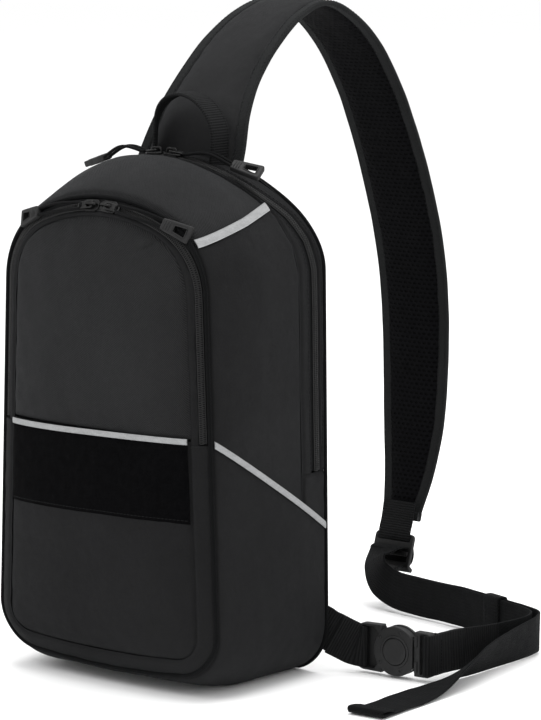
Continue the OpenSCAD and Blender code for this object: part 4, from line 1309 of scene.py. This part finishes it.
# shoulders and the bar that carries the webbing
frame_o = mirror([(-33, -15.8), (-29, -17.2), (-12.5, -17.6)], [2.6, 3, 1])
frame_h = mirror([(-28.6, -15.4), (-19.6, -15.4), (-16.2, -11)], [1.2, 2, 4])
add_plate(b, BUCKLE, [frame_o, frame_h], 7.0, -0.2, 0.9, segments=3)
for sgn in (-1, 1):                                                         # small sink marks
    for u, v in ((-12.4, 9.2), (4.5, 14.2)):
        tube(b, BUCKLE([[u, sgn * v, 4.95], [u, sgn * v, 5.25]]), 1.15, 12)
add_plate(b, BUCKLE, [box(-29, -15.8, -12, 15.8, 1.0)], 1.2, -3.0)
b.object("buckle_socket", "moulded_plastic", "bag", "buckle_female", fix=True)

r = np.array([0, 5.0, 7.6, 8.9, 9.45, 9.7, BUTTON_R, BUTTON_R])[:, None]    # profile of the button
h = np.array([5.6, 5.72, 5.9, 6.0, 5.95, 5.7, 5.2, 3.7])[:, None]
a = circle(72)
p = np.stack([r * np.cos(a), r * np.sin(a), h + 0 * a], -1)
Build().grid(BUCKLE(p), p[..., :2], cv=True).object("release_button_cap", "moulded_plastic", "button",
                                                    "release_button", fix=True)

b = Build()
add_plate(b, BUCKLE, [box(15.5, -16.4, 29, 16.4, [1.2, 2.6, 2.6, 1.2]), box(20.6, -15.0, 25.4, 15.0, 1.2)],
          7.6, 0, 0.9, segments=3)
add_plate(b, BUCKLE, [box(-5, -10.6, 17, 10.6, 2.0)], 4.0, 0, 0.5)          # tongue
for v in (-9.5, 9.5):                                                       # rails on the frame's face
    add_plate(b, BUCKLE, [box(16.2, v - 4, 18.6, v + 4, 0.5)], 1.2, 4.1)
b.object("buckle_plug", "moulded_plastic", "male", "buckle_male", fix=True)

# webbing from the side seam to the buckle, folded round its bar and sewn
b = Build()
ribbon(b, [[88, 53.0, 41], [94, 58.6, 37.6], [99, 63.6, 34], [104, 67.0, 30.5], [110.5, 73.2, 25.4], [116, 79.6, 21],
           [119.6, 82.6, 19.6]], [[0.12, 0.12, -1]] * 5 + [[0.05, 0.05, -1], DOWN], 311, 0.25)
p, w, n = ribbon(b, [[106.5, 66.4, 28.6], [112.5, 72.0, 24.2], [117.6, 76.6, 20.6], [121.6, 78.9, 19.6],
                     [123.6, 82.2, 19.6], [121, 84.4, 19.6]], [[0.1, 0.1, -1]] * 2 + [DOWN] * 4, 313, 0.1)
b.object("webbing_to_bag", "webbing", "bag", "bag_webbing")
nn = n[9] * np.sign(float(n[9] @ np.array([0.6, -0.8, 0])))
cross_stitches(thread, p[9] + nn * THREAD_LIFT, w[9], nn)

# ---------------------------------------------------------------- back panel, pads, walls and inside
PAD_X, PAD_HALF, PAD_LOW, PAD_HIGH = 50.0, 36, 46, 330


def upright(b, z0, z1, half, y, nx, nz, thick, out, seed, puff=0.0, roll=0.2, pucker=0.35, x0=0.0, soft=0.5):
    """An upright cloth panel from height z0 to z1; half and y are functions of z. out is 1 if it faces back."""
    z = np.linspace(z0, z1, nz)
    w = half(z) + 0 * z
    x = x0 + np.linspace(-1, 1, nx)[:, None] * w[None]
    zz = np.broadcast_to(z[None], x.shape)
    edge = np.minimum(w[None] - np.abs(x - x0), np.minimum(z - z0, z1 - z)[None])
    p = np.stack([x, np.broadcast_to((y(z) + 0 * z)[None], x.shape), zz], -1)
    d = puff * (1 - fade(np.maximum(edge, 0), 9)) - roll * bell(edge, 1.5)
    d = d + gathers(p, edge, pucker, 9, 14, seed) + soft * waves(p, 70, seed + 1) * (1 - fade(edge, 14))
    p[..., 1] += out * d
    return b.cloth(p, thick, np.array([0, out, 0.0]), np.stack([x, zz], -1))


def pad_half(z):
    """Half width of a back pad, which narrows to round ends."""
    w = PAD_HALF
    for k in ((PAD_HIGH - z) / 26, (z - PAD_LOW) / 26):
        w = w * (1 - (1 - np.sqrt(1 - (1 - np.clip(k, 0, 1)) ** 2)) * 0.55)
    return w


upright(Build(), 2.5, 373.5, lambda z: half_width(z, HB) - 1.4, lambda z: back_y(z) - 0.6, 90, 150, 1.4, 1.0, 401,
        roll=1.0).object("back_panel_cloth", "plain_fabric", "bag", "back_panel")
for sgn, side in ((-1, "left"), (1, "right")):
    o = upright(Build(), PAD_LOW, PAD_HIGH, pad_half, lambda z: back_y(z) + 0.4, 60, 150, 1.2, 1.0, 411 + sgn, 5.8,
                0.6, 0.4, sgn * PAD_X).object(f"back_pad_{side}", "air_mesh", "bag", "back_pads")
    z = np.linspace(70, 306, 200)
    for dx in (-38.5, 38.5):
        stitches(thread, np.stack([np.full(200, sgn * PAD_X + dx), back_y(z) + 0.1, z], -1), [0, 1.0, 0])

# binding all round the back seam
T_all = np.linspace(0, 2, 420, endpoint=False)
path = shell(T_all, back_edge(T_all) - 0.5)
path[:, 2] = np.maximum(path[:, 2], 1.4)
piping(path, T_all, HB, 1.5, 12, [0, 1.0, 0]).object("back_seam_binding", "binding", "bag")

upright(Build(), 24, 348, lambda z: half_width(z, HP) - 1.8, lambda z: -57.8, 70, 120, 1.2, -1.0, 421).object(
    "front_wall_lining", "lining", "bag", "front_wall")
b = Build()
upright(b, 12, 262, lambda z: 84 - 12 * step(z, 246, 262), lambda z: 46.4, 60, 90, 1.6, -1.0, 431)
tube(b, np.stack([np.linspace(-71, 71, 60), np.full(60, 46.9), np.full(60, 261.8)], -1), 1.4, 10)
b.object("tablet_sleeve_cloth", "lining", "bag", "tablet_sleeve")

# organiser inside the pocket: a backing and three small pouches
b = Build()
upright(b, 56, 262, lambda z: 70.0, lambda z: -61.2, 50, 70, 0.8, -1.0, 441, pucker=0.1, soft=0.15)
for x0, half, top, seed in ((-36, 31, 118, 451), (18, 17, 142, 455), (53, 13, 156, 459)):
    upright(b, 60, top, lambda z: half, lambda z: -62.0, 26, 30, 0.6, -1.0, seed, 1.0, 0.2, 0.1, x0, 0.1)
    tube(b, np.stack([x0 + np.linspace(-half, half, 20), np.full(20, -62.9), np.full(20, top - 0.6)], -1), 0.8, 8)
b.object("organiser_cloth", "lining", "bag", "pocket_organiser")

thread.object("seam_stitching", "stitching", "bag")

# ---------------------------------------------------------------- stage, light and camera


def look_at(o, target):
    bpy.context.scene.collection.objects.link(o)
    o.rotation_mode = "QUATERNION"
    o.rotation_quaternion = (Vector(target) - o.location).to_track_quat("-Z", "Y")


def area(name, place, size, power):
    d = bpy.data.lights.new(name, "AREA")
    d.shape, d.size, d.size_y, d.energy = "RECTANGLE", size[0], size[1], power
    o = bpy.data.objects.new(name, d)
    o.location = place
    look_at(o, (0, 0, 0.2))


me = bpy.data.meshes.new("Floor")
me.from_pydata([(-6, -6, -0.0005), (6, -6, -0.0005), (6, 6, -0.0005), (-6, 6, -0.0005)], [], [(0, 1, 2, 3)])
floor = bpy.data.objects.new("Floor", me)
bpy.context.scene.collection.objects.link(floor)
g = Graph("FloorWhite")
g.set(Base_Color=(0.99, 0.99, 0.99, 1), Roughness=0.9, Specular_IOR_Level=0.0)
me.materials.append(g.mat)

area("Key", (-0.4, -1.9, 2.0), (1.4, 1.2), 17)
area("Fill", (2.2, -0.4, 1.3), (1.2, 1.6), 8)
area("Top", (0.1, 0.3, 2.3), (2.2, 1.6), 46)
scene = bpy.context.scene
scene.world = bpy.data.worlds.new("Studio")
scene.world.use_nodes = True
scene.world.node_tree.nodes["Background"].inputs[0].default_value = (1, 1, 1, 1)
scene.world.node_tree.nodes["Background"].inputs[1].default_value = 1.0
scene.view_settings.view_transform = "Standard"

cam = bpy.data.objects.new("Camera", bpy.data.cameras.new("Camera"))
cam.location = (1.6952, -1.9688, 0.6386)
cam.data.lens = 182.5
cam.data.sensor_width = 36
look_at(cam, (0.079, 0.027, 0.232))
scene.camera = cam

# ---------------------------------------------------------------- carried-over CAD nodes
for row in frame["record"]["subparts"]:
    o = frame["nodes"][row["node"]]
    if not o.hide_render:
        o.data.materials.clear()
        o.data.materials.append(M[row["material_slot"]])
